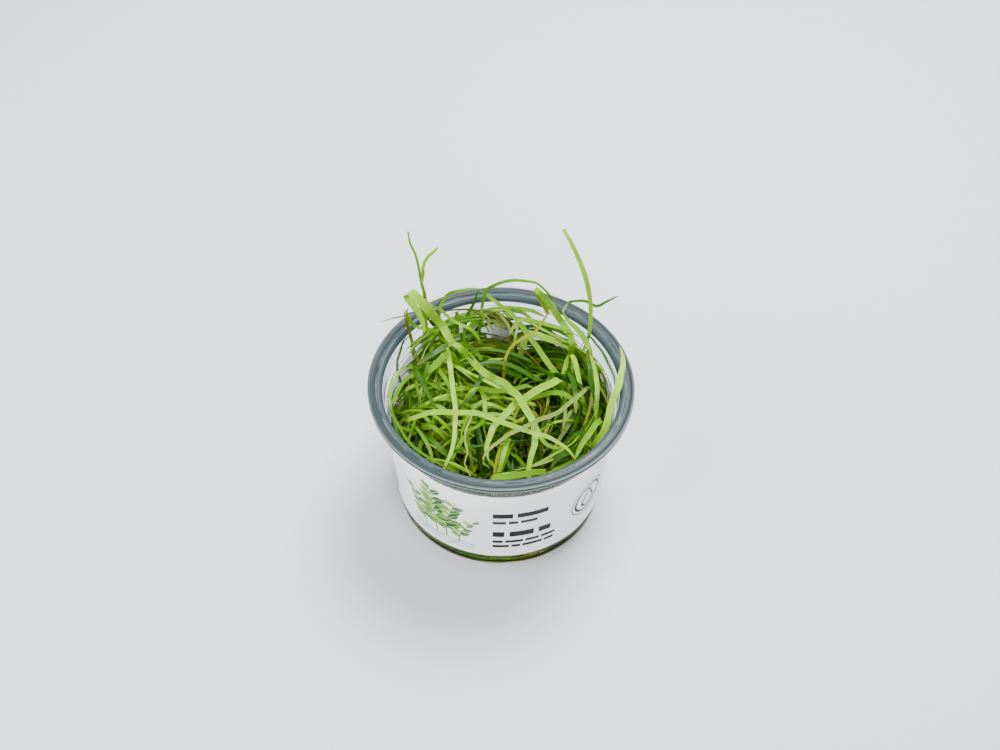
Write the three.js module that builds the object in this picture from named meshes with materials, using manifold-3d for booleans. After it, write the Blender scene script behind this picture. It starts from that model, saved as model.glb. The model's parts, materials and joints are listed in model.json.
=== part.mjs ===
// A lesser creeping rush in a clear plastic culture tub, as sold for aquariums.
// Millimetres, +Z up. The origin is on the tub's axis, on the underside of its base.
import * as THREE from "three";
import { mergeVertices } from "three/addons/utils/BufferGeometryUtils.js";
import Module from "manifold-3d";

// Tub
const RIM_RADIUS = 50.5;
const TUB_HEIGHT = 61.7;
const BASE_RADIUS = 40.1;
const BASE_FILLET = 1.6;
const WALL_SLOPE = 0.078;
const WALL_THICKNESS = 0.7;
const FLOOR_THICKNESS = 0.9;
const SHOULDER_HEIGHT = 50.3;
const SHOULDER_STEP = 0.7;
const SHOULDER_RISE = 1.7;
const LIP_HEIGHT = 59.7;
const LIP_INNER_RADIUS = 45.0;
const FLANGE_THICKNESS = 0.8;
const FLANGE_SKIRT = 1.9;
const TUB_SEGMENTS = 48;

// Label sleeve
const LABEL_BOTTOM = 6.6;
const LABEL_TOP = 48.4;
const LABEL_THICKNESS = 0.2;
const LABEL_GAP = 0.15;

// Leaf mat and root mat
const ROOT_TOP = 7.0;
const ROOT_FOOT_INSET = 2.4;
const MAT_BOTTOM = 7.5;
const MAT_LEVEL = 40;
const MAT_WALL_GAP = 0.6;
const MAT_RINGS = 11;
const MAT_SECTORS = 54;
const RIDGE_HEIGHT = 1.3;
const RIDGE_COUNT = 9;
const RIDGE_SWIRL = 0.22;
// Lobes and hollows of the mat's top: middle x, middle y, spread, height.
const MAT_FORMS = [
  [-26, 22, 17, 9],
  [-34, -4, 13, 7],
  [7, 35, 15, -18],
  [21, 17, 12, -6],
  [34, -6, 13, 4],
  [-5, -6, 13, 5],
  [8, -32, 14, 4],
  [-12, -28, 11, -4],
];

// Where a leaf comes up out of the mat
const ROOT_RUN = 5;
const ROOT_FURTHEST = 37;
const ROOT_GAP = 1.3;
const ROOT_DEPTH = 2.5;
const ROOT_SWINGS = [0, 25, -25, 50, -50, 80, -80, 110, -110];

// Leaf blades
const OPEN_WAY = new THREE.Vector3(0, -0.656, 0.755);
const KEEL_BEND_SHARE = 0.4;
const FACING_PULL = 0.3;
const FOLD_PULL = 5;
const FOLD_LEAST = 0.35;
const FRAME_PASSES = 24;
const LEAST_ADVANCE = 0.3;
const MOST_RING_TURN = THREE.MathUtils.degToRad(65);
const KEEL_SHARE = 0.24;
const KEEL_LEAST = 0.22;
const LEAF_GAPS = [0.35, 0.6, 1, 1.6, 2.4];
const DEGREES_PER_GAP = 28;
const CLEARANCE = 0.05;
const SEGMENT_LENGTH = 4.6;
const FEWEST_SEGMENTS = 6;
const MOST_SEGMENTS = 19;
const STEPS_PER_SEGMENT = 3;
const LIFT_SPREAD = 0.35;
const LIFT_PASSES = 12;
const MAT_LEAF_TIP = 0.4;
const MAT_LEAF_RISE = 4.5;
const SLIVER = 0.02;
// Leaves that spring from another leaf and not from the mat.
const BRANCH_LEAVES = new Set(["tall_leaf_left_side", "kinked_thin_leaf"]);

// The colours of the pieces
const COLOURS = {
  clear: "#c9d4d6",
  film: "#f0f4f7",
  root: "#a8a06a",
  mat: "#5f7d1c",
  lime: "#93c331",
  green: "#5f9a1e",
  deep: "#3b6d14",
  pale: "#b9d27c",
  white: "#dfe6c8",
  olive: "#8a8f3c",
  yellow: "#b5bf3a",
};

// The leaves from the deepest to the one on top: name, tone, width, tip's share of the width,
// turn of the blade in degrees, then the points of its middle line.
const LEAVES = [
  ["hollow_leaf_back", "olive", 2.2, 0.4, 0,
    [[-14, 39, 43], [-8, 40, 41], [-1, 40, 40], [6, 39, 41]]],
  ["back_arc_low", "lime", 2.2, 0.3, 10,
    [[-17, 39, 54], [-11, 40, 56], [-5, 41, 58], [1, 42, 58], [7, 42, 58], [12, 42, 57], [18, 39, 56]]],
  ["back_arc_dark", "deep", 1.7, 0.3, -15,
    [[-10, 40, 48], [-4, 42, 50], [2, 42, 52], [8, 42, 52], [14, 40, 51], [20, 37, 50], [24, 34, 49]]],
  ["back_arc_olive", "olive", 1.2, 0.3, 0,
    [[3, 42, 50], [-2, 42, 54], [-7, 41, 57], [-13, 40, 59], [-19, 39, 60], [-25, 37, 60]]],
  ["back_leaf_broad", "lime", 2.7, 0.4, 15,
    [[-15, 38, 45], [-12, 40, 50], [-8, 42, 52], [-3, 43, 53], [1, 43, 54]]],
  ["back_left_stem", "green", 1.8, 0.4, 0,
    [[-22, 33, 47], [-24, 34, 50], [-26, 34, 55], [-28, 33, 59], [-30, 33, 62]]],
  ["back_leaf_white", "white", 1.5, 0.4, 20,
    [[6, 40, 43], [3, 40, 48], [1, 41, 52], [-2, 42, 55]]],
  ["hollow_arc", "green", 1.7, 0.3, 10,
    [[-35, 24, 55], [-30, 29, 52], [-22, 31, 49], [-14, 32, 47], [-7, 33, 45], [-1, 33, 45],
      [4, 34, 47], [9, 36, 50]]],
  ["thin_leaf_right_wall", "pale", 0.9, 0.4, 0,
    [[8, 40, 54], [13, 37, 54], [19, 33, 54], [25, 29, 54], [31, 24, 55], [35, 19, 55], [39, 14, 55],
      [41, 8, 56], [42, 2, 56]]],
  ["pale_leaf_back_right", "pale", 2.7, 0.4, 5,
    [[11, 36, 50], [15, 35, 50], [20, 33, 50], [24, 31, 50], [28, 28, 50], [32, 26, 48]]],
  ["leaf_back_to_right", "lime", 2.2, 0.4, 0,
    [[33, 0, 38], [30, 6, 42], [27, 12, 44], [23, 17, 46], [18, 23, 48], [14, 29, 50], [10, 33, 53],
      [7, 36, 56], [3, 39, 59], [-1, 40, 62], [-5, 42, 64], [-9, 43, 67]]],
  ["back_left_arc", "lime", 1.3, 0.3, 0,
    [[-25, 36, 59], [-24, 39, 63], [-22, 41, 66], [-20, 41, 68], [-16, 41, 69], [-12, 42, 69],
      [-8, 43, 68]]],
  ["back_left_arc_pale", "olive", 1.2, 0.3, 20,
    [[-25, 41, 63], [-21, 42, 63], [-16, 43, 64], [-12, 44, 65], [-10, 44, 65]]],
  ["back_left_drop", "green", 1.6, 0.5, 30,
    [[-15, 38, 44], [-15, 39, 49], [-14, 40, 54], [-13, 41, 58], [-11, 42, 62], [-10, 44, 65]]],
  ["stub_leaf_back_left", "lime", 1.6, 0.9, 0,
    [[-21, 31, 50], [-19, 34, 55], [-18, 36, 58], [-18, 37, 61]]],
  ["folded_leaf_back", "pale", 2.6, 0.6, 0,
    [[27, 33, 52], [24, 35, 57], [21, 36, 62], [18, 37, 67], [15, 37, 71], [13, 37, 74], [12, 39, 73],
      [14, 40, 68], [16, 40, 63], [18, 39, 59]]],
  ["top_arc", "lime", 1.3, 0.4, 0,
    [[-7, 43, 66], [-5, 42, 70], [-2, 41, 73], [2, 41, 75], [7, 41, 75], [12, 41, 74], [15, 41, 71],
      [18, 41, 67], [21, 40, 63]]],
  ["right_strip", "lime", 2.2, 0.4, 0,
    [[34, 25, 50], [33, 28, 53], [31, 30, 56], [28, 33, 58], [25, 35, 60], [23, 38, 62]]],
  ["kinked_thin_leaf", "green", 1.0, 0.4, 0,
    [[24, 39, 63], [25, 38, 66], [27, 36, 69], [30, 34, 72], [34, 32, 73], [37, 31, 72], [40, 31, 75],
      [44, 32, 77]]],
  ["tall_leaf_right", "pale", 1.7, 0.25, 0,
    [[33, 28, 53], [34, 28, 62], [34, 29, 70], [33, 30, 79], [31, 31, 88], [28, 34, 95], [25, 36, 101],
      [22, 39, 105]]],
  ["tall_leaf_left", "lime", 1.7, 0.2, 10,
    [[-30, 28, 45], [-30, 29, 54], [-30, 29, 63], [-30, 30, 70], [-30, 31, 76], [-31, 31, 82],
      [-32, 32, 89], [-33, 34, 94], [-35, 35, 99], [-36, 37, 104]]],
  ["tall_leaf_left_side", "lime", 1.3, 0.3, 20,
    [[-30.2, 31.2, 84], [-30.5, 32.3, 88], [-29.9, 33.6, 91], [-28.6, 35, 93], [-27, 36, 94], [-25, 38, 95]]],
  ["thin_leaf_over_left_rim", "olive", 0.7, 0.5, 0,
    [[-34, 32, 66], [-37, 28, 68], [-40, 26, 69], [-43, 25, 69], [-47, 24, 68]]],
  ["left_loop", "lime", 1.3, 0.5, 0,
    [[-28, 32, 56], [-32, 30, 58], [-34, 29, 61], [-36, 29, 64], [-37, 30, 67], [-36, 32, 69],
      [-34, 33, 68]]],
  ["olive_leaf_left", "olive", 1.3, 0.4, 0,
    [[-33, 22, 46], [-34, 24, 51], [-35, 25, 56], [-36, 26, 61], [-37, 28, 65], [-38, 30, 69]]],
  ["folded_leaf_left", "pale", 3.4, 0.4, 0,
    [[-21, 32, 51], [-23, 33, 56], [-26, 33, 61], [-29, 33, 66], [-32, 33, 71], [-35, 32, 76],
      [-37, 33, 75], [-36, 34, 70], [-33, 33, 65], [-31, 31, 61], [-30, 29, 57]]],
  ["thin_pale_leaf_left", "pale", 1.3, 0.4, 0,
    [[-11, 30, 57], [-16, 30, 61], [-20, 30, 64], [-23, 31, 67], [-27, 31, 70], [-30, 31, 74]]],
  ["dark_leaf_left", "deep", 1.0, 0.4, 0,
    [[-38, 5, 52], [-39, 7, 55], [-40, 10, 57], [-40, 14, 58], [-39, 18, 59], [-38, 22, 60],
      [-35, 25, 60]]],
  ["left_wall_leaf", "pale", 1.3, 0.4, 0,
    [[-34, 16, 51], [-38, 13, 54], [-40, 7, 56], [-42, 1, 57], [-42, -5, 58], [-41, -11, 58],
      [-39, -16, 57]]],
  ["left_diagonal_leaf", "lime", 1.5, 0.4, 0,
    [[-35, 9, 54], [-38, 4, 55], [-39, 0, 56], [-40, -5, 57], [-41, -9, 58]]],
  ["left_lip_thin_leaf", "lime", 1.0, 0.5, 0,
    [[-41, -12, 59], [-39, -17, 59], [-36, -23, 59], [-33, -28, 59], [-29, -32, 59], [-25, -35, 59],
      [-21, -37, 58], [-16, -39, 57]]],
  ["left_green_diagonal", "green", 1.8, 0.5, 0,
    [[-34, 19, 50], [-32, 13, 51], [-30, 7, 52], [-28, 2, 52], [-25, -4, 52]]],
  ["left_arc_upper", "green", 2.4, 0.4, 10,
    [[-21, 25, 54], [-24, 23, 54], [-27, 21, 53], [-30, 20, 51], [-33, 18, 49]]],
  ["left_arc_lower", "lime", 2.8, 0.5, -10,
    [[-21, 19, 56], [-24, 16, 55], [-27, 13, 54], [-31, 11, 52]]],
  ["upright_pale_leaf", "pale", 1.9, 0.6, 0,
    [[-21, 21, 57], [-20, 15, 56], [-19, 7, 56], [-18, -1, 55], [-17, -8, 55], [-17, -15, 55],
      [-17, -21, 54], [-18, -27, 53], [-20, -32, 51]]],
  ["long_diagonal_side", "lime", 1.6, 0.4, 0,
    [[-15, 28, 52], [-12, 26, 52], [-10, 24, 52], [-8, 20, 52], [-5, 16, 52]]],
  ["level_lime_leaf", "lime", 2.0, 0.4, 0,
    [[-15, 7, 50], [-10, 6, 51], [-6, 5, 52], [-1, 4, 52], [3, 4, 53], [7, 5, 53], [11, 7, 52],
      [14, 7, 50]]],
  ["green_cross_leaf", "green", 1.8, 0.6, 0,
    [[-7, 11, 56], [-8, 7, 56], [-10, 2, 55], [-12, -2, 55], [-14, -4, 54], [-16, -6, 52]]],
  ["hooked_leaf", "lime", 1.7, 0.3, 0,
    [[-9, 5, 53], [-7, 1, 54], [-6, -4, 54], [-6, -8, 54], [-6, -11, 53], [-8, -13, 52], [-11, -14, 51],
      [-14, -14, 50], [-17, -13, 49]]],
  ["thread_leaf", "white", 0.8, 0.6, 0,
    [[-11, -7, 50], [-12, -11, 50], [-13, -15, 50], [-13, -19, 49], [-12, -23, 48], [-13, -27, 47],
      [-11, -31, 45]]],
  ["yellow_cross_leaf", "yellow", 1.2, 0.4, 0,
    [[1, 17, 43], [1, 20, 48], [2, 23, 52], [4, 25, 55], [8, 27, 57], [12, 29, 58], [15, 32, 60],
      [18, 36, 62], [21, 38, 63]]],
  ["broad_leaf_side", "lime", 1.9, 0.4, 0,
    [[28, 2, 50], [25, 3, 52], [22, 3, 53], [18, 2, 54], [14, 0, 54], [10, -2, 54], [7, -4, 53]]],
  ["broad_leaf_to_front", "pale", 2.9, 0.4, 0,
    [[22, 8, 55], [18, 5, 55], [14, 2, 56], [10, -2, 56], [6, -6, 57], [3, -10, 57], [0, -14, 57],
      [-3, -18, 56], [-4, -22, 55], [-5, -26, 53], [-4, -29, 51]]],
  ["long_diagonal_leaf", "pale", 2.8, 0.4, 0,
    [[-17, 27, 52], [-14, 23, 52], [-11, 18, 53], [-7, 12, 54], [-3, 8, 55], [2, 4, 56], [5, -1, 57],
      [7, -4, 58], [9, -9, 58], [12, -15, 58], [13, -20, 57], [13, -24, 56], [12, -28, 55],
      [11, -32, 53], [11, -37, 51], [11, -40, 47]]],
  ["front_loop_leaf", "pale", 1.7, 0.4, 0,
    [[13, -11, 52], [14, -15, 52], [16, -19, 52], [18, -22, 52], [21, -23, 52], [25, -22, 52]]],
  ["level_pale_leaf", "pale", 2.0, 0.3, 0,
    [[-36, -11, 51], [-33, -11, 53], [-29, -11, 55], [-25, -11, 57], [-20, -12, 58], [-14, -12, 58],
      [-9, -12, 58], [-4, -14, 58], [2, -16, 57], [7, -18, 57], [12, -20, 57], [18, -22, 57],
      [22, -24, 56], [26, -27, 55], [28, -30, 54]]],
  ["white_arc_leaf", "white", 1.6, 0.5, 0,
    [[34, 4, 56], [31, 0, 57], [28, -4, 58], [24, -9, 59], [21, -13, 60], [17, -15, 60], [13, -17, 60],
      [9, -20, 60], [4, -23, 60], [0, -26, 59], [-3, -29, 59], [-5, -31, 58], [-6, -33, 56],
      [-4, -34, 53]]],
  ["looped_leaf_right", "pale", 2.0, 0.6, 0,
    [[24, 14, 50], [25, 16, 54], [26, 18, 57], [27, 18, 59], [28, 17, 57], [29, 14, 55], [30, 10, 53],
      [31, 5, 51], [32, 2, 48]]],
  ["right_stem_green", "green", 2.0, 0.6, 0,
    [[35, 13, 43], [34, 17, 45], [34, 22, 47], [33, 25, 49], [33, 27, 51]]],
  ["right_stem_pale", "pale", 1.7, 0.5, 0,
    [[36, 5, 43], [36, 9, 46], [36, 14, 48], [35, 19, 50], [34, 23, 52]]],
  ["right_green_bend", "green", 1.8, 0.3, 0,
    [[36, -3, 49], [35, -7, 49], [33, -10, 50], [30, -15, 51], [27, -18, 52], [25, -21, 52]]],
  ["right_wall_leaf", "green", 1.1, 0.4, 0,
    [[34, 27, 59], [36, 24, 59], [39, 19, 59], [41, 13, 59], [43, 7, 59], [43, 1, 60]]],
  ["pale_leaf_over_right_rim", "pale", 2.7, 0.25, 0,
    [[38, -17, 52], [40, -14, 56], [41, -10, 59], [42, -7, 62], [44, -3, 64], [45, 2, 65], [46, 7, 66],
      [46, 11, 66], [45, 16, 66]]],
  ["right_lime_front", "lime", 2.3, 0.4, 0,
    [[38, -11, 54], [35, -14, 54], [33, -18, 53], [31, -21, 53], [29, -25, 52], [28, -28, 52]]],
  ["front_green_broad", "green", 2.6, 0.4, 0,
    [[30, -19, 48], [27, -22, 49], [24, -24, 50], [21, -27, 50], [19, -31, 49]]],
  ["front_lip_leaf", "lime", 2.3, 0.9, 0,
    [[-3, -39, 54], [1, -39, 54], [5, -39, 55], [9, -38, 55], [13, -37, 55], [17, -36, 54]]],
];

// Leaves that grow out of the mat and are one piece with it: width, then the points.
const MAT_LEAVES = [
  [1.8, [[-6, 39, 34], [2, 39, 31], [9, 38, 29], [16, 35, 28], [22, 30, 28]]],
  [1.8, [[-2, 33, 30], [6, 32, 27], [13, 32, 26], [20, 28, 27], [25, 23, 28]]],
  [1.6, [[14, 38, 36], [19, 36, 34], [24, 32, 33], [28, 28, 32], [31, 22, 31]]],
  [1.4, [[-35, 1, 45], [-35, 4, 47], [-34, 7, 48], [-33, 11, 48]]],
  [1.5, [[-37, 0, 44], [-36, 5, 45], [-36, 10, 46], [-35, 15, 46]]],
  [1.3, [[-26, -3, 50], [-23, 0, 50], [-21, 4, 50], [-20, 7, 50]]],
  [1.6, [[-28, 1, 46], [-30, 4, 47], [-32, 7, 48], [-33, 11, 49]]],
  [1.0, [[-17, 1, 52], [-16, 5, 53], [-15, 10, 53], [-14, 15, 52]]],
  [2.2, [[-19, 12, 46], [-23, 13, 46], [-27, 14, 46]]],
  [2.4, [[-4, -12, 46], [-2, -18, 47], [0, -23, 47], [1, -28, 47], [2, -33, 47]]],
  [1.6, [[8, -11, 45], [5, -14, 46], [3, -17, 47], [1, -21, 47]]],
  [1.6, [[12, -17, 46], [9, -20, 46], [6, -23, 47], [3, -27, 47]]],
  [1.8, [[-33, -14, 50], [-29, -15, 51], [-25, -16, 51], [-22, -14, 51], [-20, -10, 50], [-18, -7, 49]]],
  [2.0, [[-33, -6, 46], [-34, -10, 46], [-35, -14, 46]]],
  [1.8, [[-30, -5, 48], [-30, -9, 47], [-30, -13, 46], [-32, -17, 45]]],
  [1.6, [[-24, -5, 50], [-21, -9, 50], [-18, -13, 49]]],
  [2.0, [[10, 4, 48], [13, 0, 49], [15, -5, 49], [16, -10, 49], [17, -14, 49]]],
  [1.6, [[15, 4, 46], [19, 1, 46], [22, -3, 47], [24, -8, 47], [26, -13, 47]]],
  [1.7, [[4, -4, 50], [8, -6, 50], [12, -9, 51]]],
  [2.0, [[17, -9, 44], [21, -11, 44], [24, -13, 45], [27, -14, 45]]],
  [1.6, [[-12, -20, 42], [-9, -24, 42], [-5, -28, 42]]],
  [1.0, [[23, -1, 48], [25, -6, 48], [28, -13, 47]]],
  [1.0, [[18, -16, 48], [18, -20, 48], [18, -23, 48], [18, -26, 48], [18, -29, 47]]],
  [2.0, [[29, 11, 36], [30, 5, 36], [32, 0, 36], [33, -5, 36]]],
  [1.0, [[-15, -13, 49], [-14, -12, 50], [-11, -10, 50], [-9, -10, 50], [-7, -10, 50]]],
  [2.2, [[-12, 7, 46], [-8, 3, 46], [-4, 1, 45], [0, -2, 44]]],
  [1.8, [[-36, 2, 49], [-34, 6, 52], [-31, 11, 54], [-28, 15, 55], [-26, 20, 56]]],
  [1.5, [[-20, -1, 51], [-18, 4, 52], [-17, 10, 53], [-17, 17, 53], [-18, 25, 52]]],
  [1.6, [[-18, -6, 52], [-21, -1, 53], [-23, 5, 54], [-26, 10, 55], [-30, 16, 55]]],
];

// Inner face of the wall: its radius at a height.
function innerRadius(z) {
  const cone = BASE_RADIUS + WALL_SLOPE * z - WALL_THICKNESS;
  return z < SHOULDER_HEIGHT + SHOULDER_RISE ? cone : Math.min(cone + SHOULDER_STEP, LIP_INNER_RADIUS);
}

function outerRadius(z) {
  return BASE_RADIUS + WALL_SLOPE * z;
}

// A round piece turned from half of its section, given as pairs of radius and height.
function turned(section) {
  const outline = section.map(([radius, height]) => new THREE.Vector2(radius, height));
  const geometry = new THREE.LatheGeometry(outline, TUB_SEGMENTS);
  geometry.rotateX(Math.PI / 2);
  return geometry;
}

// The tub's section runs from the middle of the underside out, up, over the flange and back in.
function makeTub() {
  const shoulderTop = SHOULDER_HEIGHT + SHOULDER_RISE;
  const lipOuter = LIP_INNER_RADIUS + WALL_THICKNESS;
  const skirtBottom = TUB_HEIGHT - FLANGE_SKIRT;
  const flangeUnder = TUB_HEIGHT - FLANGE_THICKNESS;
  return turned([
    [0, 0],
    [outerRadius(0) - BASE_FILLET, 0],
    [outerRadius(0) - 0.4, 0.5],
    [outerRadius(BASE_FILLET), BASE_FILLET],
    [outerRadius(SHOULDER_HEIGHT), SHOULDER_HEIGHT],
    [outerRadius(shoulderTop) + SHOULDER_STEP, shoulderTop],
    [lipOuter, LIP_HEIGHT - 0.6],
    [lipOuter + 1.1, flangeUnder],
    [RIM_RADIUS - 0.9, flangeUnder - 0.1],
    [RIM_RADIUS - 0.7, skirtBottom],
    [RIM_RADIUS, skirtBottom],
    [RIM_RADIUS, TUB_HEIGHT - 0.5],
    [RIM_RADIUS - 0.5, TUB_HEIGHT - 0.1],
    [LIP_INNER_RADIUS + 2.6, TUB_HEIGHT - 0.3],
    [LIP_INNER_RADIUS + 1.6, TUB_HEIGHT],
    [LIP_INNER_RADIUS + 0.6, TUB_HEIGHT - 0.5],
    [LIP_INNER_RADIUS, LIP_HEIGHT],
    [innerRadius(shoulderTop), shoulderTop + 0.2],
    [innerRadius(SHOULDER_HEIGHT), SHOULDER_HEIGHT + 0.2],
    [innerRadius(2.4), 2.4],
    [innerRadius(0) - 1.4, FLOOR_THICKNESS],
    [0, FLOOR_THICKNESS],
  ]);
}

function makeLabel() {
  const inside = (z) => outerRadius(z) + LABEL_GAP;
  return turned([
    [inside(LABEL_BOTTOM), LABEL_BOTTOM],
    [inside(LABEL_BOTTOM) + LABEL_THICKNESS, LABEL_BOTTOM],
    [inside(LABEL_TOP) + LABEL_THICKNESS, LABEL_TOP],
    [inside(LABEL_TOP), LABEL_TOP],
    [inside(LABEL_BOTTOM), LABEL_BOTTOM],
  ]);
}

// Height of the mat's top, where the coiled leaves run as low ridges round the middle.
function matTop(x, y) {
  const radius = Math.hypot(x, y);
  const angle = Math.atan2(y, x);
  let height = MAT_LEVEL;
  for (const [middleX, middleY, spread, rise] of MAT_FORMS) {
    height += rise * Math.exp(-((x - middleX) ** 2 + (y - middleY) ** 2) / spread ** 2);
  }
  const ridge = Math.cos(RIDGE_COUNT * angle + RIDGE_SWIRL * radius * Math.PI);
  return height + RIDGE_HEIGHT * ridge * Math.min(1, radius / 12);
}

// A closed round body between a level bottom and a top of varying height.
function makeMat(bottom, top, rings, sectors, footInset) {
  const points = [];
  const faces = [];
  const at = (ring, sector) => 1 + (ring - 1) * sectors + (sector % sectors);
  const place = (share, angle) => {
    let radius = innerRadius(bottom) - MAT_WALL_GAP;
    for (let pass = 0; pass < 4; pass += 1) {
      const height = top(radius * Math.cos(angle), radius * Math.sin(angle));
      radius = innerRadius(Math.min(height, SHOULDER_HEIGHT)) - MAT_WALL_GAP;
    }
    return [share * radius * Math.cos(angle), share * radius * Math.sin(angle)];
  };
  points.push([0, 0, top(0, 0)]);
  for (let ring = 1; ring <= rings; ring += 1) {
    for (let sector = 0; sector < sectors; sector += 1) {
      const [x, y] = place(ring / rings, (2 * Math.PI * sector) / sectors);
      points.push([x, y, top(x, y)]);
    }
  }
  const foot = points.length;
  for (let sector = 0; sector < sectors; sector += 1) {
    const angle = (2 * Math.PI * sector) / sectors;
    const radius = innerRadius(bottom) - footInset;
    points.push([radius * Math.cos(angle), radius * Math.sin(angle), bottom]);
  }
  points.push([0, 0, bottom]);
  const middle = points.length - 1;
  for (let sector = 0; sector < sectors; sector += 1) {
    const next = (sector + 1) % sectors;
    faces.push([0, at(1, sector), at(1, next)]);
    for (let ring = 1; ring < rings; ring += 1) {
      faces.push([at(ring, sector), at(ring + 1, sector), at(ring + 1, next)]);
      faces.push([at(ring, sector), at(ring + 1, next), at(ring, next)]);
    }
    faces.push([at(rings, sector), foot + sector, foot + next]);
    faces.push([at(rings, sector), foot + next, at(rings, next)]);
    faces.push([middle, foot + next, foot + sector]);
  }
  return solidGeometry(points, faces);
}

function solidGeometry(points, faces) {
  const geometry = new THREE.BufferGeometry();
  geometry.setAttribute("position", new THREE.Float32BufferAttribute(points.flat(), 3));
  geometry.setIndex(faces.flat());
  geometry.computeVertexNormals();
  return geometry;
}

// A leaf's route with its foot added, as far behind its first point as it takes to come out of the mat.
// The foot swings round that point by an angle in degrees, and rise is its height over the mat's top.
function rooted(route, rise, swing) {
  const [[x, y], [nextX, nextY]] = route;
  const heading = Math.atan2(y - nextY, x - nextX) + THREE.MathUtils.degToRad(swing);
  let footX = x + ROOT_RUN * Math.cos(heading);
  let footY = y + ROOT_RUN * Math.sin(heading);
  const pull = Math.min(1, ROOT_FURTHEST / Math.hypot(footX, footY));
  footX *= pull;
  footY *= pull;
  return [[footX, footY, matTop(footX, footY) + rise], ...route];
}

// A route whose points are over the mat's top, by no more than the highest rise.
function overMat(route, highest = Infinity) {
  return route.map(([x, y, z]) => {
    const top = matTop(x, y);
    return [x, y, THREE.MathUtils.clamp(z, top + ROOT_GAP, top + highest)];
  });
}

// A blade's width along its length, as a share of its full width.
function taper(share, tip) {
  const base = Math.min(1, 0.6 + 2 * share);
  const end = Math.max(0, (share - 0.55) / 0.45) ** 2;
  return base * (1 - (1 - tip) * end);
}

// Points along a leaf, each with its half width, keel depth and the way its blade faces.
function traceLeaf(width, tip, turn, route) {
  const curve = new THREE.CatmullRomCurve3(route.map((p) => new THREE.Vector3(...p)), false, "centripetal");
  const wanted = Math.round(curve.getLength() / SEGMENT_LENGTH);
  const segments = Math.min(MOST_SEGMENTS, Math.max(FEWEST_SEGMENTS, wanted));
  const steps = segments * STEPS_PER_SEGMENT;
  const places = curve.getSpacedPoints(steps);
  const half = places.map((_, i) => (width / 2) * taper(i / steps, tip));
  const leaf = { places, half, turn: THREE.MathUtils.degToRad(turn), segments };
  frameLeaf(leaf);
  return leaf;
}

// The blade's sideways and facing directions at each point. A blade likes to lie flat to the open side,
// folds across its width where it bends sharply, and turns as gently as it can in between.
function frameLeaf(leaf) {
  const { places } = leaf;
  const last = places.length - 1;
  const before = (list, i) => list[Math.max(i - 1, 0)];
  const after = (list, i) => list[Math.min(i + 1, last)];
  const along = places.map((_, i) => after(places, i).clone().sub(before(places, i)).normalize());
  const lying = along.map((way) => new THREE.Vector3().crossVectors(way, OPEN_WAY));
  const fold = along.map((_, i) => new THREE.Vector3().crossVectors(before(along, i), after(along, i)));
  const pulled = (i, start) => {
    const sum = start.clone();
    const pulls = [[lying[i], FACING_PULL], [fold[i], FOLD_PULL * Math.max(0, fold[i].length() - FOLD_LEAST)]];
    for (const [way, weight] of pulls) {
      sum.addScaledVector(way, way.dot(start) < 0 ? -weight : weight);
    }
    return sum.addScaledVector(along[i], -sum.dot(along[i])).normalize();
  };
  const sides = [lying[0].clone().normalize()];
  for (let i = 1; i <= last; i += 1) sides.push(pulled(i, sides[i - 1]));
  for (let pass = 0; pass < FRAME_PASSES; pass += 1) {
    places.forEach((_, i) => {
      sides[i] = pulled(i, before(sides, i).clone().add(after(sides, i)));
    });
  }
  leaf.side = sides.map((side, i) => side.applyAxisAngle(along[i], leaf.turn));
  leaf.face = sides.map((side, i) => new THREE.Vector3().crossVectors(side, along[i]).normalize());
  if (leaf.face.reduce((sum, face) => sum + face.dot(OPEN_WAY), 0) < 0) {
    leaf.face.forEach((face) => face.negate());
  }
  const space = places[1].distanceTo(places[0]);
  leaf.keel = leaf.half.map((half, i) => {
    const bendRadius = (2 * space) / Math.max(fold[i].length(), 1e-6);
    return Math.min(KEEL_LEAST + 2 * half * KEEL_SHARE, Math.max(KEEL_LEAST, KEEL_BEND_SHARE * bendRadius));
  });
}

// How far a blade reaches towards and away from the open side at one of its points.
function reach(leaf, i, way) {
  const across = leaf.half[i] * Math.abs(leaf.side[i].dot(way));
  const keel = -leaf.face[i].dot(way) * leaf.keel[i];
  return [across + Math.max(0, keel), across + Math.max(0, -keel)];
}

// Moves a leaf towards the open side wherever it would meet one laid before it.
function layOver(leaf, laid, gap) {
  const { places } = leaf;
  const space = places[1].distanceTo(places[0]);
  for (let pass = 0; pass < LIFT_PASSES; pass += 1) {
    const lift = places.map((place, i) => {
      const [front, back] = reach(leaf, i, OPEN_WAY);
      let need = 0;
      for (const other of laid) {
        other.places.forEach((there, k) => {
          const offset = place.clone().sub(there);
          const depth = offset.dot(OPEN_WAY);
          if (Math.abs(depth) > 5) return;
          const apart = Math.sqrt(Math.max(0, offset.lengthSq() - depth * depth));
          if (apart > leaf.half[i] + other.half[k] + gap + space / 2) return;
          const [otherFront, otherBack] = reach(other, k, OPEN_WAY);
          if (depth < -(front + otherBack + gap)) return;
          need = Math.max(need, otherFront + back + gap - depth);
        });
      }
      return need;
    });
    if (Math.max(...lift) <= 1e-6) return;
    const spread = lift.map((_, i) =>
      Math.max(...lift.map((value, k) => value - LIFT_SPREAD * space * Math.abs(i - k))),
    );
    spread.forEach((value, i) => {
      const near = spread.slice(Math.max(0, i - 2), i + 3);
      const smooth = near.reduce((sum, part) => sum + part, 0) / near.length;
      const amount = Math.max(lift[i], smooth, 0);
      places[i].addScaledVector(OPEN_WAY, amount);
    });
    frameLeaf(leaf);
  }
}

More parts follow.
